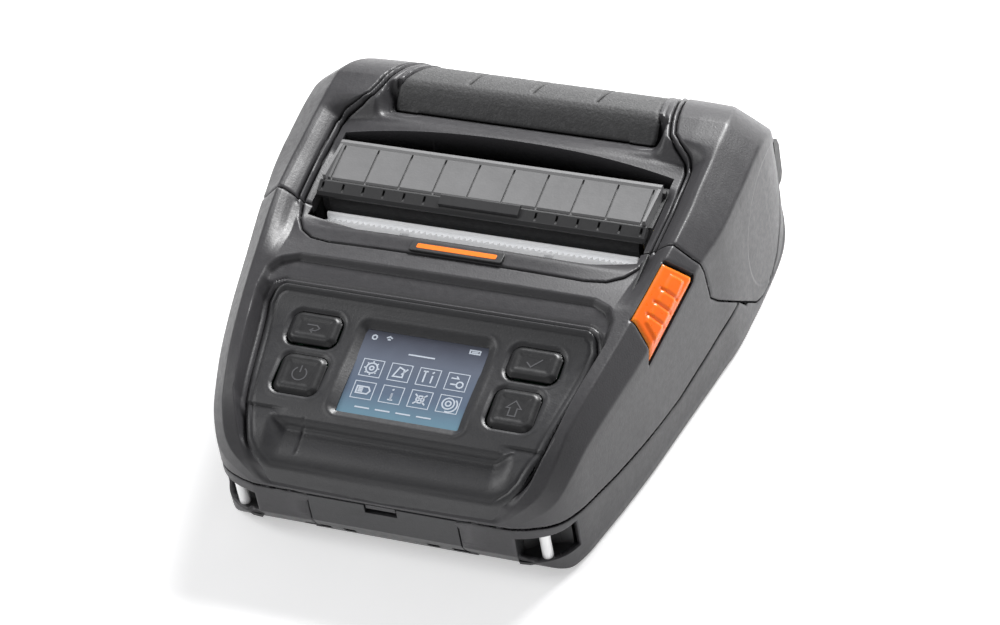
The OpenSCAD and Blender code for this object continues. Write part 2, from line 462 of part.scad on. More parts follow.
lower_case();
front_case();
control_panel();
display_lens();
display_module();
key_board();
badge_plate();
tear_bar();
guide_bar();
print_head();
head_heatsink();
head_springs();
media_frame();
feed_motor();
main_board();
battery_contacts();
hinge_bracket();
hinge_pin();
strap_pins();
case_screws();
media_sensor();
port_block();
release_spring();
media_cover();
grip_pad();
rib_plate();
peel_bar();
platen_carrier();
platen_bushes();
hinge_leaf();
platen_roller();
platen_shaft();
platen_gear();
idler_gear();
motor_pinion();
release_button();
latch_hooks();
key_feed();
key_power();
key_check();
key_home();
battery_pack();
battery_catch();
guide_left();
guide_right();
guide_pinion();
port_cover();
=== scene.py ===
import bpy
import bmesh
import math
import numpy as np
from mathutils import Matrix, Vector


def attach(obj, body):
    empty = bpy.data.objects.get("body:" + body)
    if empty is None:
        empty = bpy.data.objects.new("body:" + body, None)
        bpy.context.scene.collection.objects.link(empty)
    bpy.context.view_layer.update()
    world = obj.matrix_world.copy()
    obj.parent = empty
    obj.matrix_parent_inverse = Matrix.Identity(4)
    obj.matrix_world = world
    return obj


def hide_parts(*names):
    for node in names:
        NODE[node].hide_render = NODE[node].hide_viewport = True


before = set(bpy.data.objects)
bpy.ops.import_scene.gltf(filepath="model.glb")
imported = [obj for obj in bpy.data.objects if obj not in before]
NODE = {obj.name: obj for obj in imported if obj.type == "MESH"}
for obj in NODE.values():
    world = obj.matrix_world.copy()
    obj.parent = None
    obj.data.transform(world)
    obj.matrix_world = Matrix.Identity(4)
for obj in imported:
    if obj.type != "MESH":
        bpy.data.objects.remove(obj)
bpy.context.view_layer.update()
MID = 55.5  # mm, from the line under the display to the middle of the footprint
scene = bpy.context.scene

# ------------------------------------------------------------------ tables, in mm
plan = [(-38, 44), (-37, 47.5), (-35.5, 51.5), (-33.3, 55), (-30.5, 57.6), (-26.5, 59.6), (-22, 61.2), (-15.5, 62.6),
        (-4, 65), (15, 68.6), (35, 71.8), (49, 74), (63, 76.3), (72, 78), (85, 79.6), (98, 80.4), (104, 80.5), (112, 80.2),
        (120, 79.2), (127, 77.4), (133, 74.4), (138, 70), (141.5, 64.5), (143.6, 58)]
crest = [(-38, 25.5), (-37, 29), (-35.5, 31.5), (-33.3, 34), (-30.5, 37), (-26.5, 41), (-22, 44.5), (-15.5, 48),
         (-4, 51.7), (15, 55), (35, 58), (56, 60.8), (64, 61.3), (74, 61.9), (84, 62.9), (95, 63.7), (105, 64.5), (112, 64.5)]
belly = [(-38, 10.5), (-35.5, 5.5), (-33, 2.4), (-30, 0.3), (-28, 0), (130, 0)]
ridge_in = [(-38, 4), (11, 5), (56, 6.6), (73, 9), (84, 10.5), (100, 11.3), (144, 11.3)]
DR, DY, DZ = 39.2, 105.0, 26.0
cover_line = [(57, 90), (57.4, 61), (58.3, 54.5), (60, 48), (60.6, 42), (61.2, 35.5), (65, 30.8), (91.5, 6), (97, 3.6), (103, 3),
              (108.5, 3.6), (114.5, 6.6), (121.5, 13.5), (127, 24), (132, 40), (135.5, 47.2), (152, 59), (152, 90)]
split = [(-50, 22.5), (-36, 22.5), (-33, 22), (-28, 21.2), (-17.6, 19.7), (-4, 18), (9.4, 16.5), (24, 15.2), (34.7, 14.7), (49.3, 16.0), (63.3, 17.5),
         (74.4, 18.7), (78, 19), (83, 13), (110, 8), (110, 90), (-50, 90)]
widen = [(-38, 0.5), (-22, 0.8), (-4, 1.4), (15, 1.6), (56, 1.6), (74, 1.2), (88, 0.3), (98, 0), (112, 0.1), (120, 0.6), (130, 1.4), (144, 1.8)]
flat_top = [(31, 57), (27, 55.6), (21.5, 53.4), (19.5, 51.6), (16.5, 49.6), (12, 47.66), (-22.5, 39.57)]
insert_top = [(40, 54.2), (21.5, 53.4), (19.5, 51.6), (16.5, 49.6), (12, 47.66), (-22.3, 39.6), (-24.2, 36.5), (-27, 35.5), (-31, 34.2), (-34, 32.4),
              (-36, 29.8), (-36.7, 27), (-40, 20)]
insert_plan = [(-60, 22), (52, 22), (55, 20), (56.2, 16), (50.5, -20), (46.5, -31), (43.5, -34.5), (38, -37.5), (-60, -38.5)]
bowl_plan = [(-60, 33), (51, 33), (57, 30), (60, 25), (60, 16), (54, -20), (49.5, -31), (46, -35.5), (40, -39.5), (-60, -40.5)]
loop_plan = [(-60, 40.4), (44, 40.3), (51, 41.6), (55.6, 45), (58.6, 50), (60.4, 57), (61, 75), (60.8, 92), (59.6, 96), (55.2, 99.6),
             (52.4, 103), (51, 108), (49.6, 116), (47.6, 126), (45.4, 134), (43.6, 146), (43, 170), (-60, 170)]
pad_plan = [(-60, 103.9), (46.5, 103.9), (46.5, 107), (41.9, 134), (41.5, 150), (-60, 150)]
button_side = [(21.6, 42.6), (52.6, 50.2), (54, 51.8), (49.4, 61.5), (48.9, 75), (25.2, 75), (26.2, 54.6)]


def tab(t, y):
    """Smooth monotone cubic through a table."""
    t = sorted(t)
    X = np.array([p[0] for p in t], float)
    Yv = np.array([p[1] for p in t], float)
    h = np.diff(X)
    d = np.diff(Yv) / h
    m = np.zeros(len(X))
    for i in range(1, len(X) - 1):
        if d[i - 1] * d[i] > 0:
            a, b = 2 * h[i] + h[i - 1], h[i] + 2 * h[i - 1]
            m[i] = (a + b) / (a / d[i - 1] + b / d[i])
    m[0], m[-1] = d[0], d[-1]
    y = np.clip(np.asarray(y, float), X[0], X[-1])
    k = np.clip(np.searchsorted(X, y) - 1, 0, len(X) - 2)
    s = (y - X[k]) / h[k]
    return ((1 + 2 * s) * (1 - s) ** 2 * Yv[k] + s * (1 - s) ** 2 * h[k] * m[k]
            + s * s * (3 - 2 * s) * Yv[k + 1] + s * s * (s - 1) * h[k] * m[k + 1])


def smooth(t):
    t = np.clip(t, 0, 1)
    return t * t * (3 - 2 * t)


def sd(pts, px, py):
    """Signed distance to a closed outline, positive inside."""
    px, py = np.asarray(px, float), np.asarray(py, float)
    best = np.full(px.shape, 1e9)
    inside = np.zeros(px.shape, bool)
    n = len(pts)
    for i in range(n):
        (x0, y0), (x1, y1) = pts[i], pts[(i + 1) % n]
        dx, dy = x1 - x0, y1 - y0
        L = dx * dx + dy * dy
        if L < 1e-12:
            continue
        t = np.clip(((px - x0) * dx + (py - y0) * dy) / L, 0, 1)
        best = np.minimum(best, (px - x0 - t * dx) ** 2 + (py - y0 - t * dy) ** 2)
        if abs(dy) > 1e-12:
            inside ^= ((y0 > py) != (y1 > py)) & (px < dx * (py - y0) / dy + x0)
    return np.where(inside, 1, -1) * np.sqrt(best)


def inset(pts, r):
    """Outline moved inwards by r, so that sd(inset) + r has round corners."""
    n = len(pts)
    area = sum(pts[i][0] * pts[(i + 1) % n][1] - pts[(i + 1) % n][0] * pts[i][1] for i in range(n))
    s = 1 if area > 0 else -1
    out = []
    for i in range(n):
        p0, p1, p2 = Vector(pts[i - 1]), Vector(pts[i]), Vector(pts[(i + 1) % n])
        a, b = (p1 - p0).normalized(), (p2 - p1).normalized()
        na, nb = Vector((-a.y, a.x)) * s, Vector((-b.y, b.x)) * s
        m = na + nb
        m = m / max(0.3, m.dot(na))
        out.append(tuple(p1 + m * r))
    return out


# ------------------------------------------------------------------ mesh helpers
def clip(V, F, f):
    """Keeps the part of a triangle mesh where f >= 0."""
    s = f >= 0
    k = s[F].sum(1)
    parts = [F[k == 3]]
    P = F[(k == 1) | (k == 2)]
    if len(P):
        sp = s[P]
        kk = sp.sum(1)
        idx = np.where(kk == 1, sp.argmax(1), (~sp).argmax(1))
        r = np.arange(len(P))
        a, b, c = P[r, idx], P[r, (idx + 1) % 3], P[r, (idx + 2) % 3]
        n = len(V)
        keys = np.concatenate([np.minimum(a, b) * n + np.maximum(a, b), np.minimum(a, c) * n + np.maximum(a, c)])
        u, inv = np.unique(keys, return_inverse=True)
        i, j = u // n, u % n
        t = (f[i] / (f[i] - f[j]))[:, None]
        V = np.concatenate([V, V[i] + (V[j] - V[i]) * t])
        A, B = n + inv[:len(P)], n + inv[len(P):]
        o = kk == 1
        parts += [np.stack([a[o], A[o], B[o]], 1), np.stack([A[~o], b[~o], c[~o]], 1), np.stack([A[~o], c[~o], B[~o]], 1)]
    F = np.concatenate(parts)
    F = F[(F[:, 0] != F[:, 1]) & (F[:, 1] != F[:, 2]) & (F[:, 0] != F[:, 2])]
    used, inv = np.unique(F, return_inverse=True)
    return V[used], inv.reshape(F.shape)


def drop_edge(V, F, near, move):
    """Runs the open edge where near() is true along move."""
    E = np.concatenate([F[:, [0, 1]], F[:, [1, 2]], F[:, [2, 0]]])
    key = np.minimum(E[:, 0], E[:, 1]) * len(V) + np.maximum(E[:, 0], E[:, 1])
    _, first, cnt = np.unique(key, return_index=True, return_counts=True)
    B = E[first[cnt == 1]]
    ok = near(V)
    B = B[ok[B[:, 0]] & ok[B[:, 1]]]
    if not len(B):
        return V, F
    used, inv = np.unique(B, return_inverse=True)
    inv = inv.reshape(B.shape) + len(V)
    V2 = np.concatenate([V, move(V[used].copy())])
    return V2, np.concatenate([F, np.stack([B[:, 1], B[:, 0], inv[:, 0]], 1), np.stack([B[:, 1], inv[:, 0], inv[:, 1]], 1)])


def make(name, V, F, mat, body, node=None, thick=0, sharp=38, offset=-1, bevel=0):
    V = np.asarray(V, float).copy()
    V[:, 1] -= MID
    me = bpy.data.meshes.new(name)
    me.from_pydata((V * 0.001).tolist(), [], F.tolist() if hasattr(F, "tolist") else F)
    me.validate()
    ob = bpy.data.objects.new(name, me)
    scene.collection.objects.link(ob)
    me.materials.append(mat)
    me.polygons.foreach_set("use_smooth", [True] * len(me.polygons))
    if sharp:
        me.set_sharp_from_angle(angle=math.radians(sharp))
    if bevel:
        m = ob.modifiers.new("bevel", "BEVEL")
        m.width = bevel * 0.001
        m.segments = 3
        m.limit_method = "ANGLE"
        m.angle_limit = math.radians(35)
        m.harden_normals = False
    if thick:
        m = ob.modifiers.new("wall", "SOLIDIFY")
        m.thickness = thick * 0.001
        m.offset = offset
        m.use_rim = True
    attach(ob, body)
    if node:
        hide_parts(*([node] if isinstance(node, str) else node))
    return ob


def grid_faces(nv, nu, wrap=False):
    i, j = np.meshgrid(np.arange(nv - 1), np.arange(nu if wrap else nu - 1), indexing="ij")
    i, j = i.ravel(), j.ravel()
    j2 = (j + 1) % nu
    a, b, c, d = i * nu + j, i * nu + j2, (i + 1) * nu + j2, (i + 1) * nu + j
    return np.concatenate([np.stack([a, b, c], 1), np.stack([a, c, d], 1)])


def prism(pts, z0, z1, matrix=None):
    """An outline (x, y) run from z0 to z1, as vertices and faces."""
    n = len(pts)
    V = [(x, y, z0) for x, y in pts] + [(x, y, z1) for x, y in pts]
    F = [list(range(n))[::-1], list(range(n, 2 * n))] + [[i, (i + 1) % n, n + (i + 1) % n, n + i] for i in range(n)]
    if matrix is not None:
        V = [tuple(matrix @ Vector(v)) for v in V]
    return V, F


def side_prism(pts, x0, x1):
    n = len(pts)
    V = [(x0, y, z) for y, z in pts] + [(x1, y, z) for y, z in pts]
    F = [list(range(n)), list(range(n, 2 * n))[::-1]] + [[(i + 1) % n, i, n + i, n + (i + 1) % n] for i in range(n)]
    return V, F


def join(parts):
    V, F = [], []
    for v, f in parts:
        k = len(V)
        V += list(v)
        F += [[i + k for i in q] for q in f]
    return V, F


def rounded(w, h, c, n=3):
    """Rectangle with cut and softened corners."""
    pts = []
    for sx, sy, a0 in ((1, 1, 0), (-1, 1, 90), (-1, -1, 180), (1, -1, 270)):
        for i in range(n + 1):
            a = math.radians(a0 + 90 * i / n)
            pts.append((sx * (w / 2 - c) + c * math.cos(a), sy * (h / 2 - c) + c * math.sin(a)))
    return pts


# ------------------------------------------------------------------ materials
def material(name, colour, rough=0.5, grain=900.0, bump=0.12, vary=0.12, metal=0.0, spec=0.5, wear=0.25, speck=0.0, coat=0.0,
             wear_colour=None, grain2=60.0, stretch=None, dist=0.0004, crevice_shade=0.0):
    m = bpy.data.materials.new(name)
    m.use_nodes = True
    nt = m.node_tree
    N, L = nt.nodes, nt.links
    bs = N["Principled BSDF"]
    bs.inputs["Metallic"].default_value = metal
    bs.inputs["Specular IOR Level"].default_value = spec
    bs.inputs["Coat Weight"].default_value = coat
    bs.inputs["Coat Roughness"].default_value = 0.12
    tc = N.new("ShaderNodeTexCoord")
    src = tc.outputs["Object"]
    if stretch:
        mp = N.new("ShaderNodeMapping")
        mp.inputs["Scale"].default_value = stretch
        L.new(src, mp.inputs["Vector"])
        src = mp.outputs["Vector"]

    def noise(scale, detail=3.0, roughness=0.55):
        n = N.new("ShaderNodeTexNoise")
        n.inputs["Scale"].default_value = scale
        n.inputs["Detail"].default_value = detail
        n.inputs["Roughness"].default_value = roughness
        L.new(src, n.inputs["Vector"])
        return n.outputs["Fac"]

    def ramp(fac, stops):
        r = N.new("ShaderNodeValToRGB")
        while len(r.color_ramp.elements) < len(stops):
            r.color_ramp.elements.new(0.5)
        for e, (p, c) in zip(r.color_ramp.elements, stops):
            e.position = p
            e.color = (*c, 1) if len(c) == 3 else c
        L.new(fac, r.inputs["Fac"])
        return r.outputs["Color"]

    fine, broad = noise(grain), noise(grain2, 4.0)
    lo = [c * (1 - vary) for c in colour]
    hi = [min(1, c * (1 + vary)) for c in colour]
    col = ramp(broad, [(0.3, lo), (0.7, hi)])
    if speck:
        sp = ramp(noise(grain * 0.8, 2.0, 0.7), [(0.52, (0, 0, 0)), (0.66, (speck, speck, speck))])
        mx = N.new("ShaderNodeMix")
        mx.data_type = "RGBA"
        mx.blend_type = "ADD"
        mx.inputs[0].default_value = 1.0
        L.new(col, mx.inputs[6])
        L.new(sp, mx.inputs[7])
        col = mx.outputs[2]
    if wear:
        ge = N.new("ShaderNodeNewGeometry")
        wr = ramp(ge.outputs["Pointiness"], [(0.512, (0, 0, 0)), (0.56, (wear, wear, wear))])
        mx = N.new("ShaderNodeMix")
        mx.data_type = "RGBA"
        L.new(wr, mx.inputs[0])
        L.new(col, mx.inputs[6])
        wc = wear_colour or [min(1, c * 2.0 + 0.02) for c in colour]
        mx.inputs[7].default_value = (*wc, 1)
        col = mx.outputs[2]
    # painted shade: concave spots (low pointiness) get their base colour darkened and their specular level lowered,
    # standing in for the shade that falls in creases, grooves and seams
    if crevice_shade:
        gc = N.new("ShaderNodeNewGeometry")
        crevice_shade_fac = ramp(gc.outputs["Pointiness"], [(0.44, [1 - crevice_shade] * 3), (0.492, (1, 1, 1))])
        mc = N.new("ShaderNodeMix")
        mc.data_type = "RGBA"
        mc.blend_type = "MULTIPLY"
        mc.inputs[0].default_value = 1.0
        L.new(col, mc.inputs[6])
        L.new(crevice_shade_fac, mc.inputs[7])
        col = mc.outputs[2]
        sc = N.new("ShaderNodeMath")
        sc.operation = "MULTIPLY"
        sc.inputs[1].default_value = spec
        L.new(crevice_shade_fac, sc.inputs[0])
        L.new(sc.outputs[0], bs.inputs["Specular IOR Level"])
    L.new(col, bs.inputs["Base Color"])
    rr = ramp(noise(grain * 0.35), [(0.25, [rough * 0.86] * 3), (0.75, [min(1, rough * 1.14)] * 3)])
    L.new(rr, bs.inputs["Roughness"])
    bp = N.new("ShaderNodeBump")
    bp.inputs["Strength"].default_value = bump
    bp.inputs["Distance"].default_value = dist
    L.new(fine, bp.inputs["Height"])
    L.new(bp.outputs["Normal"], bs.inputs["Normal"])
    return m


M = {
    "body": material("case_plastic", (0.037, 0.036, 0.039), 0.44, 1500, 0.16, 0.06, spec=0.55, crevice_shade=0.9),
    "panel": material("panel_plastic", (0.027, 0.027, 0.029), 0.42, 1500, 0.14, 0.06, spec=0.55, crevice_shade=0.8),
    "black": material("black_plastic", (0.018, 0.018, 0.019), 0.5, 1200, 0.12, 0.1),
    "key": material("key_rubber", (0.016, 0.016, 0.017), 0.42, 1400, 0.10, 0.1, wear=0.15),
    "symbol": material("symbol_ink", (0.075, 0.075, 0.08), 0.5, 1400, 0.05, 0.05, wear=0),
    "rib": material("rib_plastic", (0.17, 0.17, 0.172), 0.42, 1300, 0.12, 0.06, wear=0.1),
    "frame": material("frame_plastic", (0.03, 0.03, 0.031), 0.55, 900, 0.15, 0.1),
    "rubber": material("grip_rubber", (0.05, 0.05, 0.051), 0.62, 1100, 0.7, 0.1, wear=0.1, speck=0.02, dist=0.0003, crevice_shade=0.9),
    "roller": material("roller_rubber", (0.02, 0.02, 0.021), 0.7, 1500, 0.25, 0.1, wear=0),
    "steel": material("bright_steel", (0.92, 0.92, 0.92), 0.36, 700, 0.05, 0.05, metal=0.15, wear=0.1, stretch=(0.08, 1, 1)),
    "bar_steel_painted_glow": material("bar_steel_painted_glow", (0.95, 0.95, 0.95), 0.36, 700, 0.05, 0.05, metal=0.1, wear=0.1, stretch=(0.08, 1, 1)),
    "dark_steel": material("dark_steel", (0.16, 0.16, 0.165), 0.4, 700, 0.1, 0.1, metal=0.9, wear=0.2),
    "orange": material("orange_plastic", (1.0, 0.15, 0.002), 0.3, 1200, 0.05, 0.05, spec=0.6, wear=0.5, wear_colour=(1.0, 0.42, 0.02), coat=0.2),
    "stripe": material("stripe_orange", (0.95, 0.2, 0.01), 0.4, 1200, 0.05, 0.05, wear=0),
    "white": material("gear_resin", (0.72, 0.71, 0.66), 0.45, 900, 0.06, 0.05, wear=0.1),
    "board": material("board_laminate", (0.012, 0.10, 0.04), 0.45, 600, 0.1, 0.2, wear=0.1),
    "brass": material("brass_contact", (0.72, 0.5, 0.2), 0.3, 700, 0.05, 0.08, metal=1.0, wear=0.1),
    "ceramic": material("head_ceramic", (0.62, 0.6, 0.56), 0.35, 700, 0.05, 0.05, wear=0.1),
    "lcd_ink": material("lcd_ink", (0.50, 0.55, 0.62), 0.35, 900, 0.02, 0.03, wear=0),
}


def lcd_material():
    m = bpy.data.materials.new("lcd_glass_painted_reflection")
    m.use_nodes = True
    N, L = m.node_tree.nodes, m.node_tree.links
    bs = N["Principled BSDF"]
    bs.inputs["Roughness"].default_value = 0.16
    bs.inputs["Specular IOR Level"].default_value = 0.6
    # painted glow: the display glass emits its own colour, though it is no lamp
    bs.inputs["Emission Strength"].default_value = 0.29
    tc = N.new("ShaderNodeTexCoord")
    se = N.new("ShaderNodeSeparateXYZ")
    L.new(tc.outputs["Object"], se.inputs[0])
    # painted reflection: along Y the colour runs from light blue at the front edge of the display to near black at its
    # rear, a sheen painted onto the glass; the noise adds uneven tone
    mr = N.new("ShaderNodeMapRange")
    mr.inputs["From Min"].default_value = -0.073
    mr.inputs["From Max"].default_value = -0.042
    L.new(se.outputs["Y"], mr.inputs["Value"])
    ns = N.new("ShaderNodeTexNoise")
    ns.inputs["Scale"].default_value = 160
    L.new(tc.outputs["Object"], ns.inputs["Vector"])
    ad = N.new("ShaderNodeMath")
    ad.operation = "MULTIPLY_ADD"
    ad.inputs[1].default_value = 0.10
    L.new(ns.outputs["Fac"], ad.inputs[0])
    L.new(mr.outputs["Result"], ad.inputs[2])
    r = N.new("ShaderNodeValToRGB")
    stops = [(0.0, (0.12, 0.22, 0.28)), (0.35, (0.09, 0.12, 0.17)), (0.75, (0.10, 0.115, 0.15)), (1.0, (0.055, 0.06, 0.08))]
    while len(r.color_ramp.elements) < len(stops):
        r.color_ramp.elements.new(0.5)
    for e, (p, c) in zip(r.color_ramp.elements, stops):
        e.position = p
        e.color = (*c, 1)
    L.new(ad.outputs[0], r.inputs["Fac"])
    L.new(r.outputs["Color"], bs.inputs["Base Color"])
    L.new(r.outputs["Color"], bs.inputs["Emission Color"])
    bp = N.new("ShaderNodeBump")
    bp.inputs["Strength"].default_value = 0.01
    L.new(ns.outputs["Fac"], bp.inputs["Height"])
    L.new(bp.outputs["Normal"], bs.inputs["Normal"])
    return m


M["lcd"] = lcd_material()
# painted glow: the steel of the tear bar and guide bar emits a faint light of its own, so the bars read brighter than
# the lamps light them
bar_glow_bsdf = M["bar_steel_painted_glow"].node_tree.nodes["Principled BSDF"]
bar_glow_bsdf.inputs["Emission Color"].default_value = (0.9, 0.92, 0.95, 1)
bar_glow_bsdf.inputs["Emission Strength"].default_value = 0.16

# ------------------------------------------------------------------ the skin of the whole body, one fine grid
ys = np.concatenate([np.arange(-38, 30, 0.5), np.arange(30, 60, 0.34), np.arange(60, 85, 0.5), np.arange(85, 112, 0.34),
                     DY + DR * np.sin(np.radians(np.arange(10.4, 80, 0.5)))])
w, e0 = tab(plan, ys), tab(ridge_in, ys)
more = np.interp(ys, [p[0] for p in widen], [p[1] for p in widen])
top = np.where(ys > 112, DZ + np.sqrt(np.maximum(0.01, DR ** 2 - (ys - DY) ** 2)), tab(crest, ys))
low = np.where(ys > 126, np.maximum(0, DZ - np.sqrt(np.maximum(0.01, DR ** 2 - (ys - DY) ** 2))), np.interp(ys, [p[0] for p in belly], [p[1] for p in belly]))
a, b = low, top
h = np.minimum(1, (b - a) / 58)
e = e0 * np.minimum(1, 1.25 * h) + more
w = np.minimum(w + more, 80.4)
zero = 0 * ys
C = [(zero, a), (w - 1.8 * h, a), (w - 0.6 * h, a + 0.9 * h), (w - 0.2 * h, a + 4 * h), (w, a + 0.36 * (b - a)), (w - 0.02 * e, b - 24 * h),
     (w - 0.05 * e, b - 13 * h), (w - 0.09 * e, b - 8.8 * h), (w - 0.54 * e, b - 4.6 * h), (w - e, b - 0.5 * h), (w - e - 9 * h, b), (zero, b + 0.6 * h)]
cnt = [26, 6, 8, 44, 22, 22, 10, 14, 14, 28, 112]
cx, cz = [], []
for i, n in enumerate(cnt):
    for q in range(n):
        t = q / n
        if i == 10:
            # crowned top, finer near the shoulders
            t = 0.3 * q / 60 if q < 60 else 0.3 + 0.7 * (q - 60) / (n - 60)
            cx.append(C[i][0] * (1 - t) + C[i + 1][0] * t)
            cz.append(C[i][1] + (C[i + 1][1] - C[i][1]) * (1 - (1 - t) ** 2))
        else:
            cx.append(C[i][0] * (1 - t) + C[i + 1][0] * t)
            cz.append(C[i][1] * (1 - t) + C[i + 1][1] * t)
cx.append(C[-1][0])
cz.append(C[-1][1])
H = len(cx)
hx, hz_ = np.array(cx).T, np.array(cz).T
X0 = np.concatenate([hx, -hx[:, H - 2:0:-1]], 1)
Z0 = np.concatenate([hz_, hz_[:, H - 2:0:-1]], 1)
Y0 = np.repeat(ys[:, None], X0.shape[1], 1)


def blur(A, sig, axis, wrap):
    r = int(3 * sig + 1)
    k = np.exp(-0.5 * (np.arange(-r, r + 1) / sig) ** 2)
    k /= k.sum()
    pad = [(0, 0), (0, 0)]
    pad[axis] = (r, r)
    B = np.pad(A, pad, mode="wrap" if wrap else "edge")
    out = np.zeros_like(A)
    n = A.shape[axis]
    for i, c in enumerate(k):
        out += c * (B[:, i:i + n] if axis == 1 else B[i:i + n])
    return out


# closing rings at the two ends
fr = [0.9992, 0.994, 0.985, 0.97, 0.94, 0.88, 0.75, 0.5, 0.25, 0.0004]


def cap(row, dy):
    z_mid = (Z0[row].min() + Z0[row].max()) / 2
    return (np.array([X0[row] * f for f in fr]), np.array([Y0[row] + dy * (1 - f) for f in fr]), np.array([z_mid + (Z0[row] - z_mid) * f for f in fr]))


fx, fy, fz = cap(0, -0.1)
rx, ry, rz = cap(-1, 0.1)
X = np.concatenate([fx[::-1], X0, rx])
Y = np.concatenate([fy[::-1], Y0, ry])
Z = np.concatenate([fz[::-1], Z0, rz])
for sg, ax_ in ((1.3, 1), (1.2, 0)):
    X, Y, Z = blur(X, sg, ax_, ax_ == 1), blur(Y, sg, ax_, ax_ == 1), blur(Z, sg, ax_, ax_ == 1)
for r_ in (0, -1):
    # the innermost ring of each end closes to a point
    for A in (X, Y, Z):
        A[r_] = A[r_].mean() + (A[r_] - A[r_].mean()) * 0.002
nv, nu = X.shape
P = np.stack([X, Y, Z], 2)


def normals(P):
    du = np.roll(P, -1, 1) - np.roll(P, 1, 1)
    dv = np.gradient(P, axis=0)
    n = np.cross(du, dv)
    n /= np.maximum(1e-9, np.linalg.norm(n, axis=2, keepdims=True))
    c = np.array([0, 52.8, 30.0])
    if ((P - c) * n).sum() < 0:
        n = -n
    return n


def near_cut(d, r, depth):
    """Depth of the rounding beside a cut at distance d."""
    return depth * np.clip(1 - np.abs(d) / r, 0, 1) ** 2


N0 = normals(P)
base = P.copy()
ax, yy, zz = np.abs(P[..., 0]), P[..., 1], P[..., 2]

def blur3(N, sig):
    N = np.stack([blur(blur(N[..., q], sig, 0, False), sig, 1, True) for q in range(3)], 2)
    return N / np.maximum(1e-9, np.linalg.norm(N, axis=2, keepdims=True))


# --- shaping of the top, as a lowered height
is_top = zz > tab(crest, yy) - 14
xr = tab(plan, yy) - tab(ridge_in, yy)
xg = tab([(26, 58), (40, 58.6), (50, 60), (57, 60.8), (94, 60.8), (98, 57.2), (101.7, 52.4), (110, 51)], yy)
zg = tab([(24, 57.5), (31, 56.7), (36, 55.9), (41, 55.0), (46, 54.6), (52, 55.0), (57.7, 55.9), (75, 57.2), (94.6, 58.9), (98, 61.6), (101.7, 64.5), (105, 66)], yy)
zc = tab([(24, 57.4), (31, 57.0), (36, 56.6), (40.5, 56.4), (46.0, 57.0), (47.3, 56.5), (49.6, 53.4), (52.6, 48.2), (58, 47), (80, 47), (85.5, 61.4), (90, 61.9), (93, 61.9),
          (97, 60.6), (101, 58.9), (104.6, 57.3), (108, 57.3), (112, 66)], yy)
mt = smooth((yy - 94) / 6)
bl = (1 - mt) * np.clip(ax / xg, 0, 1) ** 2.5 + mt * smooth((ax - 46.2) / 5)
slot_z = zc + (zg - zc) * bl
s_ = np.clip((xr - ax) / np.maximum(2, xr - xg), 0, 1)
prof = np.interp(s_, [0, 0.25, 0.5, 0.75, 1], [0, 0.12, 0.42, 0.78, 1])
target = zz + (slot_z - zz) * prof
fade = smooth((yy - 24) / 8) * (1 - smooth((yy - 101.5) / 4) * smooth((ax - 49) / 3)) * (yy < 111)
zt = np.where(is_top, np.minimum(zz, zz + (target - zz) * fade), zz)
zt = np.where(is_top & (yy > 104.6) & (yy < 112) & (ax < 47), np.minimum(zt, 57.4 + (yy - 104.6) * 0.7), zt)
zt = blur(zt, 1.0, 0, False)
P[..., 2] = zt

# --- bowl round the control panel
dbowl = sd(inset(bowl_plan, 5), ax, yy) + 5
dins = sd(inset(insert_plan, 3), ax, yy) + 3
floor = tab(insert_top, yy) - 0.55
t_ = np.clip(dbowl / np.maximum(0.01, dbowl - np.minimum(dins, 0)), 0, 1)
S = np.where(dins > 0, 1, 0.55 * smooth(dbowl / 2.4) + 0.45 * t_)
zz = P[..., 2]
low_z = np.minimum(zz, zz + (floor - zz) * S) - (0.75 * np.exp(-(dins / 0.5) ** 2) + 0.42 * np.exp(-((dins + 1.7) / 0.4) ** 2)) * smooth((yy + 33) / 5)
P[..., 2] = np.where(is_top & (dbowl > 0) & (yy < 36), low_z, zz)

# --- crease round the slot, on into the two grooves of the cover
dl = sd(inset(loop_plan, 3), ax, yy) + 3
deep = tab([(30, 0.42), (50, 0.5), (57, 0.75), (150, 0.75)], yy)
is_t2 = (zt > tab(crest, np.minimum(yy, 112)) - 30) & (N0[..., 2] > 0.15) & (yy > 36)
cut = np.where(is_t2, (deep + 0.45) * np.exp(-(dl / 0.42) ** 2) + 0.35 * smooth(dl / 1.0 + 0.5) * smooth((yy - 50) / 8), 0)
d2 = dl + 1.85
cut += np.where(is_t2, (0.95 * np.exp(-(d2 / 0.38) ** 2) - 0.12 * np.exp(-((dl + 0.9) / 0.4) ** 2)) * smooth((yy - 54) / 4), 0)
on_cover = smooth((sd(cover_line, base[..., 1], base[..., 2]) + 0.3) / 0.6)
cut = cut * np.where(yy > 112, on_cover, 1)
n1 = blur3(N0, 1.5)
P -= n1 * cut[..., None]

# --- seat and double rim of the grip pad
dp = sd(inset(pad_plan, 5), ax, yy) + 5
is_p = (N0[..., 2] > 0.1) & (yy > 98)
seat = np.where(is_p, 2.2 * smooth((dp + 0.2) / 0.8) * smooth((yy - 103) / 3) + 0.25 * np.exp(-((dp + 1.9) / 0.42) ** 2), 0)
P -= n1 * (seat * on_cover)[..., None]

# --- round step on the sides
xs_ = np.sign(P[..., 0])
side = np.abs(N0[..., 0]) > 0.6
disc = np.hypot(base[..., 1] - 113, base[..., 2] - 26)
P[..., 0] -= xs_ * np.where(side, 0.45 * smooth((24.5 - disc) / 1.6), 0)

def x_btn(y):
    # inner edge of the release button: the crest of the shoulder
    return tab(plan, y) - tab(ridge_in, y)


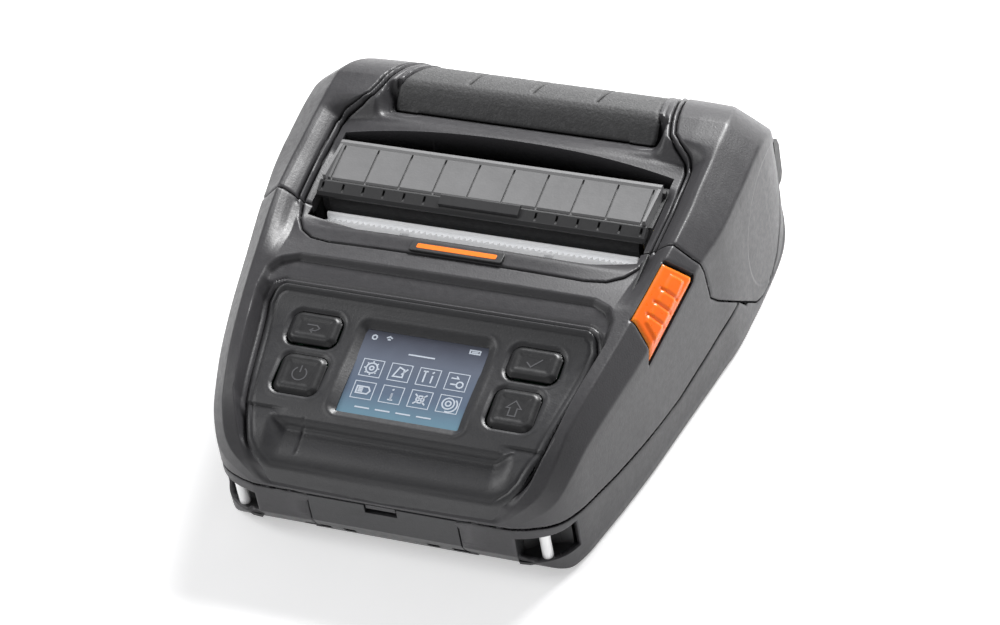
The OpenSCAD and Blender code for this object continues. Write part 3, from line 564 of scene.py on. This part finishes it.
# --- rounding beside the parting lines
dc = sd(cover_line, base[..., 1], base[..., 2])
dsp = sd(split, base[..., 1], base[..., 2])
rnd = near_cut(dc, 1.3, 0.55)
rnd = np.maximum(rnd, np.where((dc < 0) & (np.abs(base[..., 0]) > 20), near_cut(dsp, 1.3, 0.6), near_cut(dsp, 1.3, 0.6) * (dc < 0)))
dbt = sd(inset([(p[0], p[1]) for p in button_side], 0.0), base[..., 1], base[..., 2])
on_side = base[..., 0] > x_btn(base[..., 1]) - 0.9
P -= N0 * rnd[..., None]
rb = np.where(on_side, near_cut(np.minimum(dbt, 9), 1.6, 0.5), 0)
P -= N0 * rb[..., None]

V = P.reshape(-1, 3)
B0 = base.reshape(-1, 3)
F = grid_faces(nv, nu, True)
tri = V[F]
nrm = np.cross(tri[:, 1] - tri[:, 0], tri[:, 2] - tri[:, 0])
if (nrm * (tri.mean(1) - np.array([0, 52.8, 30]))).sum() < 0:
    F = F[:, ::-1]
V6 = np.concatenate([V, B0], 1)  # place and undented place, cut together


def slot_rear(x):
    return 93.0 - 3.8 * (np.abs(x) / 57.8) ** 2


def cut_by(VF, fn):
    v, f = VF
    return clip(v, f, fn(v))


# cover shell
full = (V6, F)
cov = cut_by(full, lambda v: sd(cover_line, v[:, 4], v[:, 5]) - 0.28)


def slot_field(v):
    # positive outside the slot opening
    return np.where(v[:, 2] > 44, np.maximum(np.abs(v[:, 3]) - 57.8, v[:, 4] - slot_rear(v[:, 3])), 5.0)


cov = cut_by(cov, slot_field)
cov = cut_by(cov, lambda v: np.hypot(v[:, 4] - 134.6, v[:, 5] - 47.1) - 3.3 - 1.0 * smooth((52.5 - np.abs(v[:, 3])) / 1.0))
cov_v, cov_f = cov[0][:, :3], cov[1]
cb = cov[0][:, 3:]
edge_of = lambda v: None
lim = np.abs(slot_field(cov[0])) < 4e-3


def drop_cover(q):
    q[:, 2] = np.where(np.abs(q[:, 0]) > 57, np.minimum(q[:, 2] - 4, 50.0), np.minimum(q[:, 2] - 4, 51.0))
    return q


cov_v, cov_f = drop_edge(cov_v, cov_f, lambda v: lim, drop_cover)
make("cover_shell", cov_v, cov_f, M["body"], "cover", "media_cover", thick=1.8)

# lower shell
case = cut_by(full, lambda v: -sd(cover_line, v[:, 4], v[:, 5]) - 0.28)
lowc = cut_by(case, lambda v: -sd(split, v[:, 4], v[:, 5]) - 0.5)


def low_holes(v):
    x, y, z = np.abs(v[:, 3]), v[:, 4], v[:, 5]
    mouth = np.maximum.reduce([x - 25.9, 2.6 - z, z - 22.9, y + 20])
    notch_line = [(44, -60), (44, -32), (48, -28.6), (54, -26.6), (58, -25.8), (90, -25.8), (90, -60)]
    notch = np.maximum.reduce([-(sd(inset(notch_line, 1.2), x, y) + 1.2), 7.6 - z, z - 18.6])
    slots = np.maximum.reduce([27.4 - x, x - 30, 4.4 - z, z - 7, y + 34])
    slots2 = np.maximum.reduce([x - 30, 26 - x, 4.4 - z, z - 7.0, y + 30])
    return np.minimum.reduce([mouth, notch, slots, slots2])


lowc = cut_by(lowc, low_holes)
lowc = cut_by(lowc, lambda v: np.hypot(v[:, 4] - 134.6, v[:, 5] - 47.1) - 4.2 - 0.7 * smooth((52.5 - np.abs(v[:, 3])) / 1.0))
# opening behind the port flap
lowc = cut_by(lowc, lambda v: -np.minimum.reduce([v[:, 3] - 48, 69 - v[:, 3], v[:, 5] - 10.5, 26.5 - v[:, 5], v[:, 4] - 134]))
make("lower_shell", lowc[0][:, :3], lowc[1], M["body"], "case", "lower_case", thick=1.8)

# front shell
fro = cut_by(case, lambda v: sd(split, v[:, 4], v[:, 5]) - 0.25)


def front_holes(v):
    x, y = np.abs(v[:, 3]), v[:, 4]
    topz = v[:, 5] > 38
    ins = -(sd(inset(insert_plan, 3), x, y) + 3) + 0.9
    slot = np.maximum(x - 57.2, 52.9 - y)
    btn = -np.minimum(sd(button_side, v[:, 4], v[:, 5]) + 0.55, v[:, 3] - x_btn(v[:, 4]) + 0.5)
    return np.minimum.reduce([np.where(v[:, 5] > 23.5, ins, 5), np.where(topz, slot, 5), btn])


fro = cut_by(fro, front_holes)
fv, ff = fro[0], fro[1]
xx, y2 = np.abs(fv[:, 3]), fv[:, 4]
bt = np.minimum(sd(button_side, fv[:, 4], fv[:, 5]) + 0.55, fv[:, 3] - x_btn(fv[:, 4]) + 0.5)
lim_b = np.abs(bt) < 4e-3
fv3, ff = drop_edge(fv[:, :3], ff, lambda v: lim_b, lambda q: q + np.array([[-2.6, 0, -3.2]]))
make("front_shell", fv3, ff, M["body"], "case", "front_case", thick=1.8)

# ------------------------------------------------------------------ release button: a piece of the undented skin
bx = np.concatenate([base.reshape(-1, 3), base.reshape(-1, 3)], 1)


def button_field(v):
    p = sd(inset(button_side, 0.55), v[:, 4], v[:, 5])
    return np.minimum(p, v[:, 3] - x_btn(v[:, 4]) - 0.1)


btn = clip(bx, F, button_field(bx))
bv = btn[0][:, :3].copy()
bf = btn[1]
d = button_field(btn[0])
nb = np.stack([0.78 + 0 * d, 0 * d, 0.62 + 0 * d], 1)
inn = -0.7 * np.clip(1 - d / 1.3, 0, 1) ** 2
# raised middle with three grip grooves across it
u = (bv[:, 1] - 39) * 0.97 + (bv[:, 2] - 48) * 0.22
vv = np.clip(d, 0, 9)
ridge = 0.55 * smooth((vv - 2.2) / 1.0) * smooth((13.0 - np.abs(u + 1)) / 1.2)
for g in (-5.6, -0.4, 4.8):
    ridge -= 0.5 * np.exp(-((u - g) / 0.55) ** 2) * smooth((vv - 1.6) / 1.0)
bv += nb * (inn + ridge - 0.35)[:, None]
make("release_button_cap", bv, bf, M["orange"], "button", "release_button", thick=2.4)

# dark liner behind the button and inside the strap notches
V1, F1 = side_prism([(22, 33), (54.5, 41), (54.5, 57.5), (23, 54.5)], 60.2, 61.0)
make("button_liner", V1, F1, M["black"], "case", bevel=0.15)
for s in (-1, 1):
    line = [(44, -37.4), (44, -32), (48, -28.6), (54, -26.6), (58.2, -25.8)]
    parts = []
    for (x0, y0), (x1, y1) in zip(line, line[1:]):
        parts.append(prism([(s * x0, y0), (s * x1, y1), (s * (x1 - 0.5), y1 + 0.9), (s * (x0 - 0.5), y0 + 0.9)][::s], 7.2, 18.9))
    pocket = [(44, -37.2), (47.4, -36.9), (51.2, -35.2), (54.6, -33.0), (57.2, -30.2), (58.4, -27.4), (58.4, -25.6), (54, -26.2), (48, -28.2), (43.8, -31.6)]
    parts.append(prism([(s * x, y) for x, y in pocket][::s], 6.4, 7.5))
    parts.append(prism([(s * x, y) for x, y in pocket][::s], 18.7, 19.6))
    V1, F1 = join(parts)
    make("notch_liner_" + ("r" if s > 0 else "l"), V1, F1, M["black"], "case", bevel=0.1)
# battery bay walls
parts = [prism([(-28, -33), (28, -33), (28, 49), (-28, 49)], 1.9, 2.4)]
for s in (-1, 1):
    parts.append(prism([(s * 26.4, -32), (s * 28, -32), (s * 28, 49), (s * 26.4, 49)][::s], 2.3, 22.2))
parts.append(prism([(-28, 47.2), (28, 47.2), (28, 49), (-28, 49)], 2.3, 22.2))
V1, F1 = join(parts)
make("battery_bay", V1, F1, M["body"], "case", bevel=0.2)

# ------------------------------------------------------------------ control panel
TILT = math.radians(13.2)
PAN = Matrix.Translation((0, -1.9, 44.4)) @ Matrix.Rotation(TILT, 4, "X")
INV = PAN.inverted()
gx = np.arange(-58, 58.01, 0.4)
gy = np.concatenate([np.arange(-39.5, -20, 0.3), np.arange(-20, 23.5, 0.4)])
GX, GY = np.meshgrid(gx, gy)
ztab = tab(insert_top, gy)
GZ = np.repeat(ztab[:, None], len(gx), 1)
din = sd(inset(insert_plan, 3), np.abs(GX), GY) + 3
# smile-shaped step: the ledge curls up towards its two ends
curl = smooth((np.abs(GX) - 36.5) / 6.0)
flat_z = 39.57 + (GY + 22.5) * (47.66 - 39.57) / 34.5
ends_z = np.where(GY > -22.5, flat_z, tab([(-40, 20), (-36.7, 27), (-36, 29.8), (-34, 32.6), (-31, 35.2), (-28, 37.2), (-25, 38.7), (-22.5, 39.57)], GY))
curl = smooth((np.abs(GX) - 35) / 7.0)
GZ = np.where(GY < -20, GZ + (ends_z - GZ) * curl, GZ)
GZ = GZ + 0.3 * np.exp(-((GY + 24.2 - 2.3 * curl) / 0.4) ** 2) * (1 - smooth((np.abs(GX) - 40) / 2))
# rim: rolled edge and a fine groove inside it
GZ -= 0.9 * np.clip(1 - din / 0.9, 0, 1) ** 2.0
GZ -= 0.28 * np.exp(-((din - 2.1) / 0.4) ** 2)
# local place on the panel
lx = GX
lt = (GY + 1.9) * math.cos(TILT) + (GZ - 44.4) * math.sin(TILT)
# bevelled frame of the display
dl2 = np.maximum(np.abs(lx) - 41.3 / 2, np.abs(lt + 0.0) - 31.2 / 2)
rr = np.hypot(np.maximum(np.abs(lx) - 20.65 + 1, 0), np.maximum(np.abs(lt) - 15.6 + 1, 0)) - 1
fr_ = np.where(dl2 < 0, 1, np.clip(1 - rr / 2.6, 0, 1))
GZ = GZ - 1.55 * fr_ + 0.12 * np.exp(-((rr - 3.4) / 0.5) ** 2)
keys = [("key_feed", -37.6, 11.4, 17, 11.6, 3.4), ("key_check", 37.6, 11.4, 17, 11.6, 3.4), ("key_power", -36.4, -5.8, 15.4, 14.6, 3.0), ("key_home", 36.4, -5.8, 15.4, 14.6, 3.0)]


def dkey(k, x, t, grow=0.0):
    _, kx, kt, kw, kh, c = k
    r = 3.2
    qx, qt = np.abs(x - kx) - kw / 2 + r - grow, np.abs(t - kt) - kh / 2 + r - grow
    return np.hypot(np.maximum(qx, 0), np.maximum(qt, 0)) + np.minimum(np.maximum(qx, qt), 0) - r


for k in keys:
    dk = dkey(k, lx, lt)
    GZ = GZ - 0.75 * smooth(1 - dk / 1.5) + 0.10 * np.exp(-((dk - 1.9) / 0.5) ** 2)
GZ -= 0.3 * np.exp(-((GX + 29.6) / 0.35) ** 2) * smooth((-21.5 - GY) / 1.5) * smooth((GY + 33) / 2)
pv = np.stack([GX, GY, GZ, lx, lt, din], 2).reshape(-1, 6)
pf = grid_faces(len(gy), len(gx))
pv, pf = clip(pv, pf, pv[:, 5] - 0.02)
pv, pf = clip(pv, pf, np.maximum(np.abs(pv[:, 3]) - 20.75, np.abs(pv[:, 4]) - 15.7))
for k in keys:
    pv, pf = clip(pv, pf, dkey(k, pv[:, 3], pv[:, 4]) - 0.35)
make("panel_face", pv[:, :3], pf, M["panel"], "case", "control_panel", thick=1.6, sharp=50)

# display
V1, F1 = prism(rounded(42.0, 32.0, 0.6), -1.62, -1.35, PAN)
lcd = make("lcd_face", V1, F1, M["lcd"], "case", "display_lens", bevel=0.05)


def strokes(name, paths, width, z0, z1, mat, body, matrix):
    """Flat raised strokes along paths of (x, y)."""
    parts = []
    for path in paths:
        closed = path[0] == path[-1]
        pts = [Vector(p) for p in (path[:-1] if closed else path)]
        n = len(pts)
        L_, R_ = [], []
        for i in range(n):
            p0 = pts[i - 1] if (closed or i) else pts[i]
            p2 = pts[(i + 1) % n] if (closed or i < n - 1) else pts[i]
            a_ = (pts[i] - p0).normalized() if (pts[i] - p0).length > 1e-6 else (p2 - pts[i]).normalized()
            b_ = (p2 - pts[i]).normalized() if (p2 - pts[i]).length > 1e-6 else a_
            m_ = Vector((-a_.y - b_.y, a_.x + b_.x))
            m_ = m_.normalized() / max(0.5, abs(m_.normalized().dot(Vector((-a_.y, a_.x)))))
            L_.append(pts[i] + m_ * width / 2)
            R_.append(pts[i] - m_ * width / 2)
        for i in range(n if closed else n - 1):
            j = (i + 1) % n
            parts.append(prism([tuple(R_[i]), tuple(R_[j]), tuple(L_[j]), tuple(L_[i])], z0, z1, matrix))
    v, f = join(parts)
    return make(name, v, f, mat, body, sharp=30)


def circle(x, y, r, n=18, a0=0, a1=360):
    return [(x + r * math.cos(math.radians(a0 + (a1 - a0) * i / n)), y + r * math.sin(math.radians(a0 + (a1 - a0) * i / n))) for i in range(n + 1)]


tiles, glyph = [], []
for r_ in range(2):
    for c_ in range(4):
        X_, Y_ = -14.7 + c_ * 9.7, 1.6 - r_ * 8.3
        tiles.append([(X_ - 3.5, Y_ - 3.1), (X_ + 3.5, Y_ - 3.1), (X_ + 3.5, Y_ + 3.1), (X_ - 3.5, Y_ + 3.1), (X_ - 3.5, Y_ - 3.1)])
        k_ = r_ * 4 + c_
        if k_ == 0:
            glyph += [circle(X_, Y_, 1.9, 12), circle(X_, Y_, 0.7, 10)] + [[(X_ + 1.9 * math.cos(q), Y_ + 1.9 * math.sin(q)), (X_ + 2.6 * math.cos(q), Y_ + 2.6 * math.sin(q))] for q in [i * math.pi / 4 for i in range(8)]]
        elif k_ == 1:
            glyph += [[(X_ - 2, Y_ - 1.6), (X_ + 1.2, Y_ - 1.6), (X_ + 1.2, Y_ + 1.2), (X_ - 0.6, Y_ + 1.9), (X_ - 2, Y_ - 1.6)], [(X_ + 0.6, Y_ - 0.6), (X_ + 2.3, Y_ + 1.6)]]
        elif k_ == 2:
            glyph += [[(X_ - 1.4, Y_ - 2), (X_ - 1.4, Y_ + 2)], [(X_ - 2.2, Y_ + 2), (X_ - 0.6, Y_ + 2)], [(X_ + 1.2, Y_ - 2), (X_ + 1.2, Y_ + 0.8)], [(X_ + 0.9, Y_ + 1.6), (X_ + 1.5, Y_ + 2.2)]]
        elif k_ == 3:
            glyph += [[(X_ - 2.2, Y_ + 1.2), (X_ + 0.2, Y_ + 1.2), (X_ - 0.6, Y_ + 2)], circle(X_ + 1.2, Y_ - 0.9, 1.1, 10), [(X_ - 2, Y_ - 1), (X_ - 0.2, Y_ - 1)]]
        elif k_ == 4:
            glyph += [[(X_ - 2.3, Y_ - 1.2), (X_ + 1.5, Y_ - 1.2), (X_ + 2.3, Y_), (X_ + 1.5, Y_ + 1.3), (X_ - 2.3, Y_ + 1.3), (X_ - 2.3, Y_ - 1.2)], [(X_ - 1.8, Y_ + 0.1), (X_ - 0.2, Y_ + 0.1)], [(X_ - 1.8, Y_ - 0.5), (X_ - 0.2, Y_ - 0.5)], [(X_ - 1.8, Y_ + 0.7), (X_ - 0.2, Y_ + 0.7)]]
        elif k_ == 5:
            glyph += [[(X_, Y_ - 1.9), (X_, Y_ + 0.6)], [(X_ + 0.1, Y_ - 1.9), (X_ + 0.1, Y_ + 0.6)], [(X_ - 0.8, Y_ - 1.9), (X_ + 0.9, Y_ - 1.9)], [(X_ - 0.2, Y_ + 1.6), (X_ + 0.3, Y_ + 2.1)]]
        elif k_ == 6:
            glyph += [[(X_ - 2, Y_ - 1.8), (X_ + 2, Y_ + 1.8)], [(X_ - 2, Y_ + 1.8), (X_ + 2, Y_ - 1.8)], circle(X_, Y_, 1.3, 10)]
        else:
            glyph += [circle(X_ - 0.2, Y_ + 0.2, 2.0, 14), circle(X_ - 0.2, Y_ + 0.2, 0.9, 10), circle(X_ + 0.3, Y_ - 0.2, 2.6, 12, -110, 50)]
glyph += [circle(-17.6, 12.9, 0.8, 8), [(-13.6, 13.3), (-12.6, 13.9), (-11.6, 13.3)], [(-13.1, 12.6), (-12.6, 12.9), (-12.1, 12.6)],
          [(15, 12.6), (18.4, 12.6), (18.4, 13.8), (15, 13.8), (15, 12.6)], [(15.6, 13.2), (17.8, 13.2)],
          [(-4.5, 8.6), (4.5, 8.6)], [(-15.5, -12.9), (-10.5, -12.9)], [(-8.5, -12.9), (-3.5, -12.9)], [(-1.5, -12.9), (3.5, -12.9)], [(5.5, -12.9), (10.5, -12.9)]]
strokes("lcd_tiles", tiles, 0.28, -1.36, -1.31, M["lcd_ink"], "case", PAN)
strokes("lcd_icons", glyph, 0.5, -1.36, -1.30, M["lcd_ink"], "case", PAN)

# keys
body_of = {"key_feed": "feed_key", "key_power": "power_key", "key_check": "check_key", "key_home": "home_key"}
for k in keys:
    name, kx, kt, kw, kh, c = k
    n = 41
    q = np.linspace(-1, 1, n)
    QX, QY = np.meshgrid(kx + q * (kw / 2 + 0.3), kt + q * (kh / 2 + 0.3))
    dk = -dkey(k, QX, QY)
    QZ = 1.35 - 1.5 * np.clip(1 - dk / 1.9, 0, 1) ** 1.7 - 0.35 * smooth((dk - 2.4) / 1.6)
    kv = np.stack([QX, QY, QZ, dk], 2).reshape(-1, 4)
    kv, kf = clip(kv, grid_faces(n, n), kv[:, 3] - 0.02)
    lp = kv[:, :3]
    R3 = np.array(PAN.to_3x3())
    wv = lp @ R3.T + np.array(PAN.translation)
    ob = make(name + "_cap", wv, kf, M["key"], body_of[name], name, thick=2.6, sharp=45)
    if name == "key_feed":
        pts = [[(kx - 2.6, kt + 0.9), (kx + 0.8, kt + 0.9), (kx + 2.0, kt - 0.1), (kx + 0.8, kt - 1.1), (kx - 0.8, kt - 1.1)], [(kx - 0.1, kt - 0.3), (kx - 1.0, kt - 1.1), (kx - 0.1, kt - 1.9)]]
    elif name == "key_check":
        pts = [[(kx - 2.4, kt + 0.1), (kx - 0.7, kt - 1.5), (kx + 2.5, kt + 1.7)]]
    elif name == "key_power":
        pts = [circle(kx, kt - 0.1, 2.4, 16, 120, 420), [(kx, kt + 0.4), (kx, kt + 3.0)]]
    else:
        pts = [[(kx - 2.5, kt + 0.2), (kx, kt + 2.9), (kx + 2.5, kt + 0.2), (kx + 1.2, kt + 0.2), (kx + 1.2, kt - 2.6), (kx - 1.2, kt - 2.6), (kx - 1.2, kt + 0.2), (kx - 2.5, kt + 0.2)]]
    strokes(name + "_symbol", pts, 0.45, 0.85, 1.06, M["symbol"], body_of[name], PAN)

# bare badge plate with a plain stripe
BAD = Matrix.Translation((0, 42.7, 57.02)) @ Matrix.Rotation(math.radians(2.9), 4, "X")
V1, F1 = prism(rounded(32, 4.3, 0.6), -0.3, 0.75, BAD)
make("badge_face", V1, F1, M["black"], "case", "badge_plate", bevel=0.25)
V1, F1 = prism(rounded(27.5, 2.0, 0.5), 0.6, 0.84, BAD)
make("badge_stripe", V1, F1, M["stripe"], "case", bevel=0.08)

# ------------------------------------------------------------------ grip pad
prof_y = [(104.2, 57.3), (105.4, 58.5), (107, 60.0), (109, 61.7), (111.2, 63.1)]
arc_ = [(DY + 38.6 * math.cos(math.radians(q)), DZ + 38.6 * math.sin(math.radians(q))) for q in np.arange(77.5, 42, -1.5)]
pr = prof_y + arc_
acc = np.concatenate([[0], np.cumsum([math.dist(pr[i], pr[i + 1]) for i in range(len(pr) - 1)])])
uu = np.arange(0, acc[-1], 0.4)
py_, pz_ = np.interp(uu, acc, [p[0] for p in pr]), np.interp(uu, acc, [p[1] for p in pr])
px_ = np.arange(-48, 48.01, 0.45)
PX, PY = np.meshgrid(px_, py_)
PZ = np.repeat(pz_[:, None], len(px_), 1)
PZ = blur(PZ, 1.5, 0, False)
dpd = sd(inset([(-60, 104.1), (46.2, 104.1), (46.2, 107), (41.6, 134), (41.4, 160), (-60, 160)], 5), np.abs(PX), PY) + 5
ny, nz = np.gradient(pz_), -np.gradient(py_)
ln = np.hypot(ny, nz)
NY, NZ = np.repeat((-ny / ln)[:, None], len(px_), 1), np.repeat((-nz / ln)[:, None], len(px_), 1)
dent = 0.9 * np.clip(1 - dpd / 1.1, 0, 1) ** 2
for g in (-22.6, 0, 22.6):
    dent = dent + 1.0 * np.exp(-((PX - g) / 0.6) ** 2) * smooth((PY - 114) / 3)
PY2, PZ2 = PY - NY * dent, PZ - NZ * dent
qv = np.stack([PX, PY2, PZ2, dpd], 2).reshape(-1, 4)
qv, qf = clip(qv, grid_faces(len(py_), len(px_)), qv[:, 3] - 0.02)
make("grip_pad_cap", qv[:, :3], qf, M["rubber"], "cover", "grip_pad", thick=1.5, sharp=60)

# ------------------------------------------------------------------ materials of the carried-over nodes
use = {
    "body": ["battery_catch"], "black": ["peel_bar", "display_module", "media_sensor", "port_cover"],
    "panel": ["battery_pack"],
    "rib": ["rib_plate"], "frame": ["media_frame", "platen_carrier", "guide_left", "guide_right"],
    "bar_steel_painted_glow": ["tear_bar", "guide_bar"],
    "steel": ["strap_pins", "hinge_pin", "platen_shaft", "head_springs", "release_spring"],
    "dark_steel": ["feed_motor", "port_block", "hinge_bracket", "hinge_leaf", "case_screws", "latch_hooks", "head_heatsink"],
    "white": ["platen_gear", "idler_gear", "guide_pinion"], "brass": ["battery_contacts", "motor_pinion", "platen_bushes"],
    "board": ["main_board", "key_board"], "roller": ["platen_roller"], "ceramic": ["print_head"],
}
for key, names in use.items():
    for n_ in names:
        ob = NODE[n_]
        for sl in ob.material_slots:
            sl.material = M[key]

# ------------------------------------------------------------------ stage, lights, camera
fl = bpy.data.meshes.new("floor")
R_ = 6.0
fl.from_pydata([(-R_, -R_, -0.0002), (R_, -R_, -0.0002), (R_, R_, -0.0002), (-R_, R_, -0.0002)], [], [(0, 1, 2, 3)])
fo = bpy.data.objects.new("floor", fl)
scene.collection.objects.link(fo)
fm = material("floor_paint", (0.86, 0.86, 0.86), 0.6, 40, 0.02, 0.01, wear=0)
fb = fm.node_tree.nodes["Principled BSDF"]
fb.inputs["Emission Color"].default_value = (1, 1, 1, 1)
fb.inputs["Emission Strength"].default_value = 0.42
fl.materials.append(fm)

wd = bpy.data.worlds.new("studio")
scene.world = wd
wd.use_nodes = True
wn, wl = wd.node_tree.nodes, wd.node_tree.links
bg = wn["Background"]
tc = wn.new("ShaderNodeTexCoord")
sp = wn.new("ShaderNodeSeparateXYZ")
wl.new(tc.outputs["Generated"], sp.inputs[0])
cr = wn.new("ShaderNodeValToRGB")
for e_, (p_, c_) in zip(cr.color_ramp.elements, [(0.0, (1.0, 1.0, 1.0, 1)), (0.75, (0.42, 0.42, 0.44, 1))]):
    e_.position = p_
    e_.color = c_
wl.new(sp.outputs["Z"], cr.inputs["Fac"])
wl.new(cr.outputs["Color"], bg.inputs["Color"])
bg.inputs["Strength"].default_value = 0.44


def area(name, loc, aim, size, power, sy=None):
    l = bpy.data.lights.new(name, "AREA")
    l.energy = power
    l.size = size
    if sy:
        l.shape = "RECTANGLE"
        l.size_y = sy
    o = bpy.data.objects.new(name, l)
    o.location = loc
    o.rotation_euler = (Vector(aim) - Vector(loc)).to_track_quat("-Z", "Y").to_euler()
    scene.collection.objects.link(o)
    return o


area("rear_soft", (0.3, 1.5, 1.2), (0, 0, 0.03), 1.0, 74, 0.5)
area("left_soft", (-1.2, -0.4, 1.3), (0, 0, 0.03), 0.9, 12)
area("front_fill", (0.3, -1.6, 0.7), (0, 0, 0.03), 1.0, 2)

cam = bpy.data.cameras.new("camera")
cam.sensor_width = 36
cam.lens = 136.44
cam.clip_start = 0.05
co = bpy.data.objects.new("camera", cam)
scene.collection.objects.link(co)
scene.camera = co
rt, upv, bk = Vector((0.8821, 0.4710, 0)), Vector((-0.3188, 0.5971, 0.7361)), Vector((0.3467, -0.6493, 0.6769))
ro = math.radians(10.9)
xa = rt * math.cos(ro) - upv * math.sin(ro)
ya = rt * math.sin(ro) + upv * math.cos(ro)
za = bk
mw = Matrix(((xa.x, ya.x, za.x, 0), (xa.y, ya.y, za.y, 0), (xa.z, ya.z, za.z, 0), (0, 0, 0, 1)))
mw.translation = Vector((0.034, -0.0555, 0.0775)) + bk * 1.154
co.matrix_world = mw
scene.view_settings.view_transform = "Standard"
